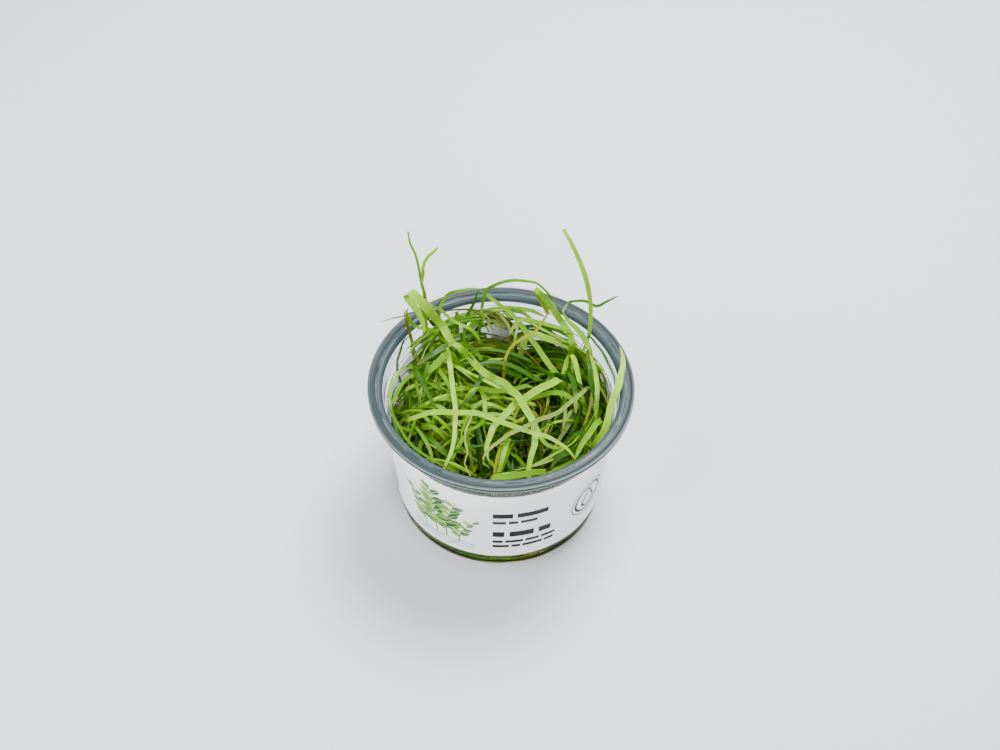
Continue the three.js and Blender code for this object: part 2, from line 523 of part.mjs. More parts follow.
// The blade as a closed solid with a flat face and a low keel behind it.
function leafGeometry(leaf) {
  const points = [];
  const faces = [];
  for (let ring = 0; ring <= leaf.segments; ring += 1) {
    const i = ring * STEPS_PER_SEGMENT;
    const place = leaf.places[i];
    const across = leaf.side[i].clone().multiplyScalar(leaf.half[i]);
    const keel = leaf.face[i].clone().multiplyScalar(-leaf.keel[i]);
    points.push(place.clone().sub(across), place.clone().add(across), place.clone().add(keel));
  }
  const normal = (a, b, c) => {
    return points[b].clone().sub(points[a]).cross(points[c].clone().sub(points[a]));
  };
  const way = Math.sign(normal(0, 1, 2).dot(points[3].clone().sub(points[0])));
  for (let ring = 0; ring < leaf.segments; ring += 1) {
    for (let corner = 0; corner < 3; corner += 1) {
      const a = 3 * ring + corner;
      const b = 3 * ring + ((corner + 1) % 3);
      const hollow = way * normal(a, b, b + 3).dot(points[a + 3].clone().sub(points[a])) > 0;
      if (hollow) faces.push([a, b, a + 3], [b, b + 3, a + 3]);
      else faces.push([a, b, b + 3], [a, b + 3, a + 3]);
    }
  }
  const last = 3 * leaf.segments;
  faces.push([0, 2, 1], [last, last + 1, last + 2]);
  const ordered = way < 0 ? faces.map(([a, b, c]) => [a, c, b]) : faces;
  return solidGeometry(points.map((p) => p.toArray()), ordered);
}

// Whether a blade folds back into itself between two of its rings.
function crosses(leaf) {
  const corner = (i, k) => {
    const across = leaf.side[i].clone().multiplyScalar(leaf.half[i] * k);
    return leaf.places[i].clone().add(k === 0 ? leaf.face[i].clone().multiplyScalar(-leaf.keel[i]) : across);
  };
  for (let ring = 0; ring < leaf.segments; ring += 1) {
    const i = ring * STEPS_PER_SEGMENT;
    const next = i + STEPS_PER_SEGMENT;
    const step = leaf.places[next].clone().sub(leaf.places[i]);
    const least = LEAST_ADVANCE * step.lengthSq();
    const turn = leaf.side[i].angleTo(leaf.side[next]);
    if (turn > MOST_RING_TURN) return true;
    if ([-1, 0, 1].some((k) => corner(next, k).sub(corner(i, k)).dot(step) < least)) return true;
  }
  return false;
}

function pieceMesh(name, geometry, tone, roughness) {
  const material = new THREE.MeshStandardMaterial({ color: COLOURS[tone], roughness, metalness: 0 });
  const mesh = new THREE.Mesh(geometry, material);
  mesh.name = name;
  return mesh;
}

// A geometry as a solid that can be joined to others and measured against them.
function solidOf(geometry) {
  const bare = geometry.clone();
  bare.deleteAttribute("normal");
  bare.deleteAttribute("uv");
  const merged = mergeVertices(bare, 1e-3);
  const vertProperties = merged.attributes.position.array;
  const triVerts = new Uint32Array(merged.index.array);
  return new wasm.Manifold(new wasm.Mesh({ numProp: 3, vertProperties, triVerts }));
}

// One piece made of a body and the blades that grow out of it.
function joined(body, blades) {
  let whole = solidOf(body);
  for (const blade of blades) whole = whole.add(solidOf(blade));
  const { vertProperties, numProp, triVerts } = whole.simplify(SLIVER).getMesh();
  const points = [];
  for (let i = 0; i < vertProperties.length; i += numProp) {
    points.push([vertProperties[i], vertProperties[i + 1], vertProperties[i + 2]]);
  }
  return solidGeometry(points, [Array.from(triVerts)]);
}

// Lays a leaf over the others: the least swing of its foot and the least gap that keep it clear of them.
function settle([name, , width, tip, turn, points], laid, solids) {
  const swings = BRANCH_LEAVES.has(name) ? [0] : ROOT_SWINGS;
  const trials = swings.flatMap((swing) => LEAF_GAPS.map((gap) => ({ swing, gap })));
  const cost = (trial) => Math.abs(trial.swing) / DEGREES_PER_GAP + trial.gap;
  trials.sort((one, other) => cost(one) - cost(other));
  for (const { swing, gap } of trials) {
    const route = BRANCH_LEAVES.has(name) ? points : rooted(overMat(points), ROOT_GAP, swing);
    const leaf = traceLeaf(width, tip, turn, route);
    layOver(leaf, laid, gap);
    if (crosses(leaf)) continue;
    leaf.geometry = leafGeometry(leaf);
    leaf.solid = solidOf(leaf.geometry);
    if (solids.every((solid) => solid.minGap(leaf.solid, 2 * CLEARANCE) >= CLEARANCE)) return leaf;
  }
  throw new Error(`no clear place for ${name}`);
}

const wasm = await Module();
wasm.setup();

const tub = makeTub();
const rootMat = makeMat(FLOOR_THICKNESS + 0.3, () => ROOT_TOP, 3, 36, ROOT_FOOT_INSET);
const bedding = makeMat(MAT_BOTTOM, matTop, MAT_RINGS, MAT_SECTORS, MAT_WALL_GAP);
const laid = MAT_LEAVES.map(([width, route]) => {
  return traceLeaf(width, MAT_LEAF_TIP, 0, rooted(overMat(route, MAT_LEAF_RISE), -ROOT_DEPTH, 0));
});
const leafMat = joined(bedding, laid.map(leafGeometry));
const solids = [tub, leafMat].map(solidOf);

const plant = new THREE.Group();
plant.add(pieceMesh("tub", tub, "clear", 0.2));
plant.add(pieceMesh("label", makeLabel(), "film", 0.45));
plant.add(pieceMesh("root_mat", rootMat, "root", 0.8));
plant.add(pieceMesh("leaf_mat", leafMat, "mat", 0.6));
for (const row of LEAVES) {
  const leaf = settle(row, laid, solids);
  laid.push(leaf);
  solids.push(leaf.solid);
  plant.add(pieceMesh(row[0], leaf.geometry, row[1], 0.45));
}

export default plant;
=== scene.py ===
"""A lesser creeping rush in its clear culture tub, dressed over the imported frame.

+Z is up. The object's sizes below are in millimetres and are turned to metres where a mesh is made. The
camera, the lights and the settings in the panel are in metres.
"""
import itertools
import json
import math
from dataclasses import dataclass

import bmesh
import bpy
import numpy as np
from bpy.props import FloatProperty, FloatVectorProperty, IntProperty, PointerProperty
from mathutils import Matrix, Vector
from mathutils.bvhtree import BVHTree


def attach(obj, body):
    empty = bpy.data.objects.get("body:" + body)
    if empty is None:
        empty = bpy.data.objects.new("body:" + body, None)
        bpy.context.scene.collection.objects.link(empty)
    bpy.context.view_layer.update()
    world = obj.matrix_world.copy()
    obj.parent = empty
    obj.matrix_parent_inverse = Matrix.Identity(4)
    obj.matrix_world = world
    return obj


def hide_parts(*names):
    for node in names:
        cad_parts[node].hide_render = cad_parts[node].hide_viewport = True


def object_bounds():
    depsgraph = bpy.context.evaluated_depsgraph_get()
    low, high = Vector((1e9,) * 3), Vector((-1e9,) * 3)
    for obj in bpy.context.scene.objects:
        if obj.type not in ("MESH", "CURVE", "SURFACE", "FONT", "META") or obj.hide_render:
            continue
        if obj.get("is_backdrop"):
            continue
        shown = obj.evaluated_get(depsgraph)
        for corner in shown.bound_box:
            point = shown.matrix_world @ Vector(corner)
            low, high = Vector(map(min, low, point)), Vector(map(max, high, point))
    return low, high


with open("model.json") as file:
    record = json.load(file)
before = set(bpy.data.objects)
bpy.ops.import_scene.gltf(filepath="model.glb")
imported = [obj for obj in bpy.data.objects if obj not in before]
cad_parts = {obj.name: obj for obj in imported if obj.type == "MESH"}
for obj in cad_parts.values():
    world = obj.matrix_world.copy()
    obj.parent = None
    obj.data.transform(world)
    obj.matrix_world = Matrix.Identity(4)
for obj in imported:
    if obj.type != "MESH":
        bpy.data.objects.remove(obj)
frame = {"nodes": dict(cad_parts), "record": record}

bl_info = {
    "name": "Potted creeping rush",
    "version": (1, 0, 0),
    "blender": (4, 5, 0),
    "location": "View3D > Sidebar > Rush",
    "description": "Builds a clear culture tub with its label, roots and tangle of ribbon leaves",
    "category": "Object",
}

MM = 0.001
CAD_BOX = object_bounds()
BODY = "root"

# Tub, as in the CAD: radii and heights
BASE_RADIUS = 40.1
WALL_SLOPE = 0.078
WALL_THICKNESS = 0.7
FLOOR_THICKNESS = 0.9
RIM_RADIUS = 50.5
TUB_HEIGHT = 61.7
LIP_INNER_RADIUS = 45.0
SHOULDER_BOTTOM = 50.3
SHOULDER_TOP = 52.0
SHOULDER_STEP = 0.7

# Where the tub's finish changes, and its colours
FLANGE_BOTTOM = 59.0
EDGE_TOP = 60.25
SKIRT_RADIUS = 50.2
SKIRT_ROUNDING = 0.35
FOOT_TOP = 7.0
STAIN_TOP = 1.6
# A broken ring of painted highlight on the flange: its radius and half width
HIGHLIGHT_RING_RADIUS = 47.3
HIGHLIGHT_RING_REACH = 0.4
# Painted highlight on the flange's beads and edge, and painted shade between them, as shares of its colour
BEAD_HIGHLIGHT = 1.5
BETWEEN_BEADS_SHADE = 0.85
SKIRT_TINT = "#56684e"
# Painted highlight on the flange's outer edge
RIM_EDGE_HIGHLIGHT = "#8a9897"
FOOT_TINT = "#eceada"
# Colour of the flange's broken ring of painted highlight
HIGHLIGHT_RING_TINT = "#dfe6e8"

# Label sleeve
LABEL_BOTTOM = 6.6
LABEL_TOP = 48.4
LABEL_MIDDLE = (LABEL_BOTTOM + LABEL_TOP) / 2
LABEL_THICKNESS = 0.2
LABEL_GAP = 0.15
SEAM_WIDTH = 9.0
SEAM_STEPS = 10
WORD_GAP = 0.55
PAPER_SHADE = 0.94
INK = "#030404"
SOFT_INK = "#23282b"
SPRIG_TINTS = ("#3d7c06", "#0e430a", "#6c9812", "#1f580c")
WATER_TINTS = ("#2f7088", "#4f8ea0", "#80adb9")
BAR_WIDTHS = (0.3, 0.6, 0.3, 0.45, 0.7, 0.3, 0.55, 0.3, 0.65, 0.4, 0.3, 0.6)

# Nodes that aren't single leaves, and where the leaves that spring from another leaf join it
PLAIN_NODES = {"tub", "label", "root_mat", "leaf_mat"}
BRANCH_BASES = {"tall_leaf_left_side": (-31.1, 31.1, 82.6), "kinked_thin_leaf": (23.4, 34.8, 64.7)}
# A packed blade's width at its base, as a share of its widest, by which that end is told
BASE_SHARE = 0.6
SHADE_SEED = 3

# Tissue of each tone: lit face, shaded face, veins, old tip
TISSUES = {
    "lime_leaf": ("#4b7600", "#274f00", "#668204", "#564808"),
    "green_leaf": ("#244a00", "#113200", "#3e5e04", "#3e3c06"),
    "deep_leaf": ("#123400", "#061e00", "#244406", "#2a2a06"),
    "pale_leaf": ("#688e12", "#426e08", "#88a636", "#6a6018"),
    "white_leaf": ("#6c7c30", "#4a601a", "#8c9a5c", "#6c5a2c"),
    "olive_leaf": ("#464a04", "#282a02", "#585c14", "#3e2c0a"),
    "yellow_leaf": ("#646e00", "#465000", "#808214", "#604608"),
}
# Root tissue, in the same columns: painted lit face, painted shaded face, veins, old tip
ROOT_FIBRE = ("#8a7236", "#3e3810", "#a8965a", "#40320e")
# Pale patches of painted sheen on the pale leaves; the other leaves take their vein colour for these patches
PAINTED_SHEEN = "#8ea65c"
BLANCHED = "#a4b25e"
# Near-black olive: painted shade deep in the thicket, with the brown of old leaves
OLD_GROWTH_IN_SHADE = "#262a08"
# Leaves in the mat are darkened by painted shade, and turned brown, below the first height, and keep their
# green above the second
SHADED_BELOW = 24
UNSHADED_ABOVE = 42

# Leaves whose tone isn't left to chance: 0 is the lit face's colour and 1 the shaded face's
SHADED_LEAVES = {
    "folded_leaf_back": 0.85, "right_strip": 0.2, "back_leaf_broad": 0.35, "leaf_back_to_right": 0.1,
    "upright_pale_leaf": 0.15, "pale_leaf_over_right_rim": 0.05, "tall_leaf_right": 0.1,
    "front_lip_leaf": 0.1, "olive_leaf_left": 0.05, "thin_leaf_over_left_rim": 0.1,
    "kinked_thin_leaf": 0.05, "folded_leaf_left": 0.05, "level_pale_leaf": 0.05,
    "long_diagonal_leaf": 0.55, "tall_leaf_left": 0.1, "tall_leaf_left_side": 0.1,
}
# Share of its last width that a leaf's tip keeps
TIP_SHARE = 0.3
BLUNT_TIPS = {"tall_leaf_right": 0.8, "tall_leaf_left": 0.6, "front_lip_leaf": 0.9,
              "pale_leaf_over_right_rim": 0.4}
# Upright leaves, broad face to the front: breadth at base, top and tip as shares of the widest
TALL_LEAVES = {"tall_leaf_right": (0.5, 1.15, 0.6), "tall_leaf_left": (1.5, 0.65, 0.6),
               "tall_leaf_left_side": (1.0, 1.0, 0.5), "kinked_thin_leaf": (0.8, 1.2, 0.4)}
FRONT = Vector((0, -0.65, 0.76))


@dataclass
class Zone:
    """A part of the thicket. A pair is a lowest and a highest value, in millimetres or degrees."""
    count: int
    angles: tuple  # round from +X, of a leaf's middle
    radii: tuple  # of a leaf's middle
    tones: dict  # share of each
    way: object = "around"  # a heading, or round the tub, or free
    spread: float = 0  # of the heading
    curl: float = 0.004  # spread of the bend per millimetre
    lengths: tuple = (25, 60)
    widths: tuple = (1.0, 2.2)
    lift: tuple = (0, 7)  # over the pile
    rise: tuple = (-4, 4)  # from base to tip
    arch: tuple = (0, 3)
    bridge: float = 60  # radius of the bend over a hollow
    tilt: tuple = (0, 35)  # of the blade's face: middle and spread


ZONES = {
    "bottom growth": Zone(170, (0, 360), (3, 40), dict(olive=0.45, deep=0.55), spread=50, curl=0.012,
                          lengths=(35, 70), widths=(1.3, 2.3), lift=(0, 0), rise=(0, 0), arch=(0, 1),
                          bridge=25, tilt=(0, 25)),
    "hollow arcs": Zone(90, (35, 130), (16, 40), dict(olive=0.3, deep=0.2, green=0.3, lime=0.2), spread=12,
                        curl=0.006, lengths=(30, 75), widths=(1.1, 2.3), rise=(-3, 6), bridge=40,
                        tilt=(30, 25)),
    "under weave": Zone(170, (130, 400), (3, 39), dict(green=0.35, deep=0.45, olive=0.2), way="free",
                        curl=0.02, widths=(1.3, 2.3), lift=(0, 1), rise=(-2, 3), bridge=45),
    "front wall": Zone(40, (195, 345), (40, 41.6), dict(olive=0.35, deep=0.3, green=0.35), spread=5,
                       curl=0.002, widths=(1.2, 2.2), arch=(0, 2), tilt=(70, 15)),
    "front weave": Zone(85, (200, 335), (6, 39), dict(green=0.4, deep=0.35, olive=0.1, yellow=0.15), way=90,
                        spread=42, curl=0.015, lengths=(25, 55), widths=(1.2, 2.3), lift=(0, 2),
                        arch=(0, 5)),
    "left pile": Zone(190, (105, 235), (5, 39), dict(lime=0.5, green=0.13, pale=0.32, white=0.05),
                      way="free", curl=0.035, lengths=(18, 45), widths=(0.7, 1.8), lift=(0, 3),
                      rise=(-2, 4), arch=(1, 8), tilt=(0, 45)),
    "back left": Zone(64, (98, 150), (18, 41), dict(lime=0.5, green=0.3, pale=0.1, deep=0.1), way="free",
                      curl=0.03, lengths=(18, 45), lift=(1, 8), rise=(-2, 5), arch=(1, 6), tilt=(10, 45)),
    "back right": Zone(60, (15, 72), (20, 41), dict(lime=0.35, green=0.35, deep=0.15, olive=0.15), spread=28,
                       curl=0.015, widths=(1.2, 2.5), lift=(4, 14), rise=(-4, 6), arch=(0, 4),
                       tilt=(35, 35)),
    "right strands": Zone(120, (-55, 28), (29, 41.5),
                          dict(green=0.35, lime=0.25, olive=0.15, white=0.1, pale=0.15), spread=8,
                          curl=0.005, lengths=(35, 70), widths=(0.8, 1.9), rise=(-3, 8), arch=(0, 2),
                          tilt=(40, 30)),
    "back right wall": Zone(34, (35, 76), (37, 41.5), dict(lime=0.35, green=0.3, deep=0.2, olive=0.15),
                            spread=9, lengths=(25, 50), widths=(1.0, 2.4), lift=(6, 20), rise=(-5, 6),
                            tilt=(50, 20)),
    "back wall arcs": Zone(32, (60, 125), (38, 41), dict(lime=0.45, green=0.4, deep=0.15), spread=5,
                           lengths=(30, 60), lift=(14, 30), rise=(-5, 8), bridge=80, tilt=(50, 15)),
    "top ribbons": Zone(50, (115, 400), (3, 34), dict(lime=0.5, green=0.25, pale=0.15, yellow=0.1),
                        way="free", curl=0.02, widths=(0.9, 1.9), lift=(1, 3), rise=(-2, 5), arch=(2, 9),
                        bridge=90, tilt=(0, 40)),
}

# Leaves pressed behind the clear band at the foot: tone, start and end in degrees round from the front,
# height at each, width
FLOOR_LEAVES = [
    ("lime_leaf", -48, 26, 3.6, 2.2, 2.4), ("green_leaf", -58, -6, 2.2, 4.4, 1.8),
    ("green_leaf", 18, 62, 3.0, 5.2, 1.5), ("olive_leaf", -85, -40, 5.0, 3.2, 1.6),
    ("white_leaf", -5, 3, 5.4, 5.8, 1.7), ("olive_leaf", 8, 44, 5.2, 4.0, 1.1),
    ("yellow_leaf", 24, 50, 4.6, 5.8, 0.9), ("yellow_leaf", -62, -34, 4.2, 5.4, 0.9),
    ("green_leaf", 70, 130, 3.0, 4.4, 1.8), ("olive_leaf", 120, 175, 4.6, 3.2, 1.5),
    ("lime_leaf", 150, 205, 3.2, 5.0, 1.4), ("green_leaf", 190, 250, 4.4, 2.9, 1.7),
    ("olive_leaf", 225, 275, 3.4, 5.2, 1.3),
]
FLOOR_LEAF_POINTS = 12
FLOOR_LEAF_INSET = 0.3
STRANDS = 400
ROOT_SEED = 5
STRAND_POINTS = 14
STRAND_HEIGHTS = (1.7, 7.6)
STRAND_INSETS = (0.35, 1.6)
STRAND_SPANS = (0.2, 0.9)
STRAND_HALF_WIDTHS = (0.12, 0.45)
BED_TOP = 7.0
BED_BOTTOM = 1.2
STEMS_BOTTOM = 7.7
STEMS_SINK = 0.8
CORE_CLEARANCE = 1.0
CORE_LEVEL = 38
CORE_RIPPLE = 0.7

# The grid of heights that the thicket is laid on, and how its leaves keep to the wall
GRID_REACH = 46.0
GRID_STEP = 0.8
PATH_STEP = 2.5
WALL_CLEARANCE = 1.3
PATH_LEVEL = 45
WALL_FILM = 0.12
FEWEST_POINTS = 6
THICKET_TOP = TUB_HEIGHT - 4
BASE_DIP = 6
BASE_REACH = 0.14
TIP_LOSS = 0.86
BLADE_LIFT = 0.22
NEAR_PILE = 1.5

# Gaps between the leaves through which the label's inner face shows at the back: across, and height on
# the wall, for a look over the front rim
WINDOWS = [((-15, 8), (41.5, 45)), ((5, 14), (24, 31))]
WALL_BACK = 43.0
SIGHT_SLOPE = 1.09
# How far in front of that wall a leaf can still hide them
WINDOW_DEPTH = 30

# Round cove that the tub stands in: radius of its level floor, radius and height of its edge
COVE_FLOOR = 3000
COVE_RADIUS = 4000
COVE_HEIGHT = 1100
FLOOR_GRAIN = 0.985

# Camera, fitted to the rim, the label's edges and the foot, and where the lights aim
CAMERA_PLACE = (-0.0005, -0.39257, 0.51786)
CAMERA_LENS = 57.35
CAMERA_DOWN = 49.005
CAMERA_ROLL = 1.26
AIM = Vector((0, 0, 0.04))
FILL_SHARE = 0.55
SUN_SHARE = 0.23


def linear(colour):
    """Turns an sRGB hex colour into linear red, green, blue and alpha."""
    channels = [int(colour[i:i + 2], 16) / 255 for i in (1, 3, 5)]
    return [c / 12.92 if c <= 0.04045 else ((c + 0.055) / 1.055) ** 2.4 for c in channels] + [1.0]


def feed(node, inputs):
    """Gives a node's inputs their values, or links them to the output sockets given."""
    for key, value in inputs.items():
        if isinstance(value, bpy.types.NodeSocket):
            node.id_data.links.new(value, node.inputs[key])
        else:
            node.inputs[key].default_value = value


def add_node(tree, kind, inputs=None, stops=(), out=0, **settings):
    """Adds a node and gives one of its outputs. Its inputs are values or other nodes' outputs, the stops
    are its ramp's, and its settings are its properties."""
    made = tree.nodes.new(kind)
    for name, value in settings.items():
        setattr(made, name, value)
    feed(made, inputs or {})
    for place, colour in stops:
        ramp = made.color_ramp
        spare = next((e for e in ramp.elements if e.position == place), None)
        (spare or ramp.elements.new(place)).color = colour
    return made.outputs[out] if made.outputs else None


def new_material(name):
    """A new material, its tree, its Principled shader and its Object coordinates."""
    material = bpy.data.materials.new(name)
    material.use_nodes = True
    tree = material.node_tree
    return material, tree, tree.nodes["Principled BSDF"], add_node(tree, "ShaderNodeTexCoord", out="Object")


def mottled(name, colours, noise, finish, finer=None, bump=None):
    """A material tinted by one noise: the ramp's colours, the noise's inputs, the shader's inputs, how much
    finer the noise is along each axis, and a bump's inputs."""
    material, tree, shader, place = new_material(name)
    if finer:
        place = add_node(tree, "ShaderNodeVectorMath", {0: place, 1: finer}, operation="MULTIPLY")
    grain = add_node(tree, "ShaderNodeTexNoise", {"Vector": place, **noise})
    tint = add_node(tree, "ShaderNodeValToRGB", {"Fac": grain}, colours)
    feed(shader, {"Base Color": tint, **finish})
    if bump:
        feed(shader, {"Normal": add_node(tree, "ShaderNodeBump", {"Height": grain, **bump})})
    return material


def polar(radius, angle, up):
    """A point at a radius and an angle round from +X."""
    return Vector((radius * math.cos(angle), radius * math.sin(angle), up))


def outer_radius(height):
    return BASE_RADIUS + WALL_SLOPE * height


def inner_radius(height):
    cone = outer_radius(height) - WALL_THICKNESS
    return cone if height < SHOULDER_TOP else min(cone + SHOULDER_STEP, LIP_INNER_RADIUS)


def mesh_from(work, name, rounded=True):
    """A mesh from what was drawn. A rounded one is shaded smooth, and its faces are turned outwards."""
    if rounded:
        bmesh.ops.recalc_face_normals(work, faces=work.faces)
        for face in work.faces:
            face.smooth = True
    mesh = bpy.data.meshes.new(name)
    work.to_mesh(mesh)
    work.free()
    return mesh


def placed(name, mesh, slot, *nodes, material=None):
    """A finished piece: in the scene, on the body, and in place of the nodes named."""
    piece = bpy.data.objects.new(name, mesh)
    bpy.context.scene.collection.objects.link(piece)
    if material:
        mesh.materials.clear()
        mesh.materials.append(material)
    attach(piece, BODY)
    if nodes:
        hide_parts(*nodes)
    return piece


# Tub


def filleted(corners, steps=5):
    """A section whose corners, given as radius, height and fillet, are rounded."""
    line = []
    for i, (r, z, fillet) in enumerate(corners):
        here = Vector((r, z))
        if fillet == 0 or i in (0, len(corners) - 1):
            line.append(here)
            continue
        back = Vector(corners[i - 1][:2]) - here
        on = Vector(corners[i + 1][:2]) - here
        reach = min(fillet, 0.45 * back.length, 0.45 * on.length)
        start = here + back.normalized() * reach
        end = here + on.normalized() * reach
        for step in range(steps + 1):
            t = step / steps
            line.append(start * (1 - t) ** 2 + here * 2 * t * (1 - t) + end * t * t)
    return line


def turned(name, section, facets, closed=False):
    """A mesh turned about +Z from a section of radius and height."""
    work = bmesh.new()
    rings = []
    for r, z in section:
        if r < 1e-6:
            rings.append([work.verts.new((0, 0, z * MM))] * facets)
            continue
        rings.append([work.verts.new((r * MM * math.sin(math.tau * k / facets),
                                      -r * MM * math.cos(math.tau * k / facets), z * MM))
                      for k in range(facets)])
    pairs = list(zip(rings, rings[1:])) + ([(rings[-1], rings[0])] if closed else [])
    for low, high in pairs:
        for k in range(facets):
            corners = [low[k], low[(k + 1) % facets], high[(k + 1) % facets], high[k]]
            loop = [v for i, v in enumerate(corners) if v not in corners[:i]]
            if len(loop) > 2:
                work.faces.new(loop)
    return mesh_from(work, name)


def tub_section():
    """Half of the tub's section, from the middle of the underside out, up, over the flange and back."""
    wall = outer_radius
    inside = inner_radius
    return filleted([
        (0, 0.6, 0), (33.6, 0.6, 0.5), (34.6, 0, 0.4), (wall(0), 0, 0.8),
        (wall(STAIN_TOP), STAIN_TOP, 0), (wall(FOOT_TOP), FOOT_TOP, 0),
        (wall(48.9), 48.9, 0.2), (wall(49.3) + 0.3, 49.3, 0.2), (wall(50) + 0.3, 50, 0.2),
        (wall(SHOULDER_BOTTOM), SHOULDER_BOTTOM, 0.2),
        (wall(SHOULDER_TOP) + SHOULDER_STEP, SHOULDER_TOP, 0.5),
        (wall(55.2) + 0.62, 55.2, 0.2), (wall(55.6) + 0.95, 55.6, 0.2), (wall(56.3) + 0.95, 56.3, 0.2),
        (wall(56.7) + 0.6, 56.7, 0.2), (45.75, 59.2, 0.6), (46.9, 60.8, 0.4), (49.6, 60.75, 0.2),
        (49.7, 59.8, 0.12), (RIM_RADIUS, 59.8, 0.15), (RIM_RADIUS, EDGE_TOP, 0.1),
        (RIM_RADIUS, TUB_HEIGHT, 0.4), (49.6, TUB_HEIGHT, 0.3), (49.1, 61.35, 0.4), (47.6, 61.3, 0.4),
        (47.0, 61.55, 0.4), (45.9, 61.45, 0.5), (LIP_INNER_RADIUS, 60.4, 0.7),
        (LIP_INNER_RADIUS - 0.05, 59.2, 0.4), (inside(53), 53, 0.4),
        (inside(SHOULDER_BOTTOM), SHOULDER_BOTTOM + 0.2, 0.4),
        (inside(FOOT_TOP), FOOT_TOP, 0), (inside(2.2), 2.2, 1.0),
        (inside(0) - 1.4, FLOOR_THICKNESS, 0.8), (0, FLOOR_THICKNESS, 0),
    ])


def polypropylene(name, colour, clarity, roughness, painted_bands=False, ior=1.3):
    """Clarified polypropylene, thermoformed: see-through where it is drawn thin, with a gloss that varies in
    patches about 7 mm across. The flange is thick and so hazy, with painted highlights on its beads and
    edge, painted shade between them, and a broken ring of painted highlight. The IOR is under the real 1.49,
    because gloss from a pale studio would hide what lies behind the wall, and at the foot even more so."""
    material, tree, shader, place = new_material(name)
    feed(shader, {"Base Color": [*colour, 1.0], "Transmission Weight": clarity, "IOR": ior,
                  "Specular IOR Level": 0.15, "Roughness": roughness})
    haze = add_node(tree, "ShaderNodeTexNoise", {"Vector": place, "Scale": 140.0, "Detail": 3.0,
                                                 "Roughness": 0.6})
    if not painted_bands:
        rough = add_node(tree, "ShaderNodeMapRange", {"Value": haze, "From Min": 0.35, "From Max": 0.7,
                                                      "To Min": roughness, "To Max": roughness * 2.5})
        feed(shader, {"Roughness": rough})
        return material
    flat = add_node(tree, "ShaderNodeVectorMath", {0: place, 1: (1, 1, 0)}, operation="MULTIPLY")
    radius = add_node(tree, "ShaderNodeVectorMath", {0: flat}, out="Value", operation="LENGTH")
    across = add_node(tree, "ShaderNodeMapRange", {"Value": radius, "From Min": LIP_INNER_RADIUS * MM,
                                                   "From Max": RIM_RADIUS * MM})
    # Painted highlight on the beads and the outer edge, and painted shade between them
    pale, dark = [[min(1, c * k) for c in colour] + [1.0] for k in (BEAD_HIGHLIGHT, BETWEEN_BEADS_SHADE)]
    ring = add_node(tree, "ShaderNodeValToRGB", {"Fac": across},
                    [(0.0, pale), (0.3, pale), (0.46, dark), (0.74, dark), (0.86, pale), (0.95, pale),
                     (1.0, linear(RIM_EDGE_HIGHLIGHT))])
    # A broken ring of painted highlight round the flange
    off = add_node(tree, "ShaderNodeMath", {0: radius, 1: HIGHLIGHT_RING_RADIUS * MM}, operation="SUBTRACT")
    apart = add_node(tree, "ShaderNodeMath", {0: off}, operation="ABSOLUTE")
    line = add_node(tree, "ShaderNodeMapRange", {"Value": apart, "From Max": HIGHLIGHT_RING_REACH * MM,
                                                 "To Min": 0.2, "To Max": 0.0})
    broken = add_node(tree, "ShaderNodeMapRange", {"Value": haze, "From Min": 0.4, "From Max": 0.7})
    white = add_node(tree, "ShaderNodeMath", {0: line, 1: broken}, operation="MULTIPLY")
    highlighted_ring = add_node(tree, "ShaderNodeMix", {0: white, 6: ring, 7: linear(HIGHLIGHT_RING_TINT)}, out=2,
                       data_type="RGBA")
    feed(shader, {"Base Color": highlighted_ring})
    return material


def growth_behind_foot():
    """The foot's lowest edge, filled by the old growth pressed behind it: level streaks of brown, green and
    straw, about 11 mm long and 0.8 mm high, under a glossy face."""
    return mottled("old_growth_behind_foot",
                   [(0.28, linear("#141004")), (0.42, linear("#443608")), (0.5, linear("#2c4606")),
                    (0.62, linear("#7c6e38"))],
                   {"Scale": 90.0, "Detail": 3.0}, {"Roughness": 0.2, "Specular IOR Level": 0.1},
                   finer=(1, 1, 14))


# Label


def sleeve_radius(height):
    return outer_radius(height) + LABEL_GAP + LABEL_THICKNESS


def on_label(across, up, lift):
    """A point on the sleeve's outside: millimetres round from the front's middle, height, and lift."""
    radius = sleeve_radius(up) + lift
    angle = across / sleeve_radius(LABEL_MIDDLE)
    return Vector((radius * math.sin(angle), -radius * math.cos(angle), up)) * MM


def print_strip(work, line, widths, tone, colours, columns=4, lift=0.03):
    """A flat printed shape swept along a line on the label, with its width at each point."""
    rows = []
    for i, (u, v) in enumerate(line):
        before = line[max(i - 1, 0)]
        after = line[min(i + 1, len(line) - 1)]
        along = (Vector(after) - Vector(before)).normalized()
        side = Vector((-along.y, along.x))
        row = []
        for k in range(columns + 1):
            offset = widths[i] * (k / columns - 0.5)
            row.append(work.verts.new(on_label(u + side.x * offset, v + side.y * offset, lift)))
        rows.append(row)
    for low, high in zip(rows, rows[1:]):
        for k in range(columns):
            face = work.faces.new((low[k], low[k + 1], high[k + 1], high[k]))
            for loop in face.loops:
                loop[colours] = linear(tone)


def arc_line(centre, radius, start, end, steps):
    """Points on an arc, with its angles in degrees."""
    turns = [math.radians(start + (end - start) * k / steps) for k in range(steps + 1)]
    return [(centre[0] + radius * math.cos(t), centre[1] + radius * math.sin(t)) for t in turns]


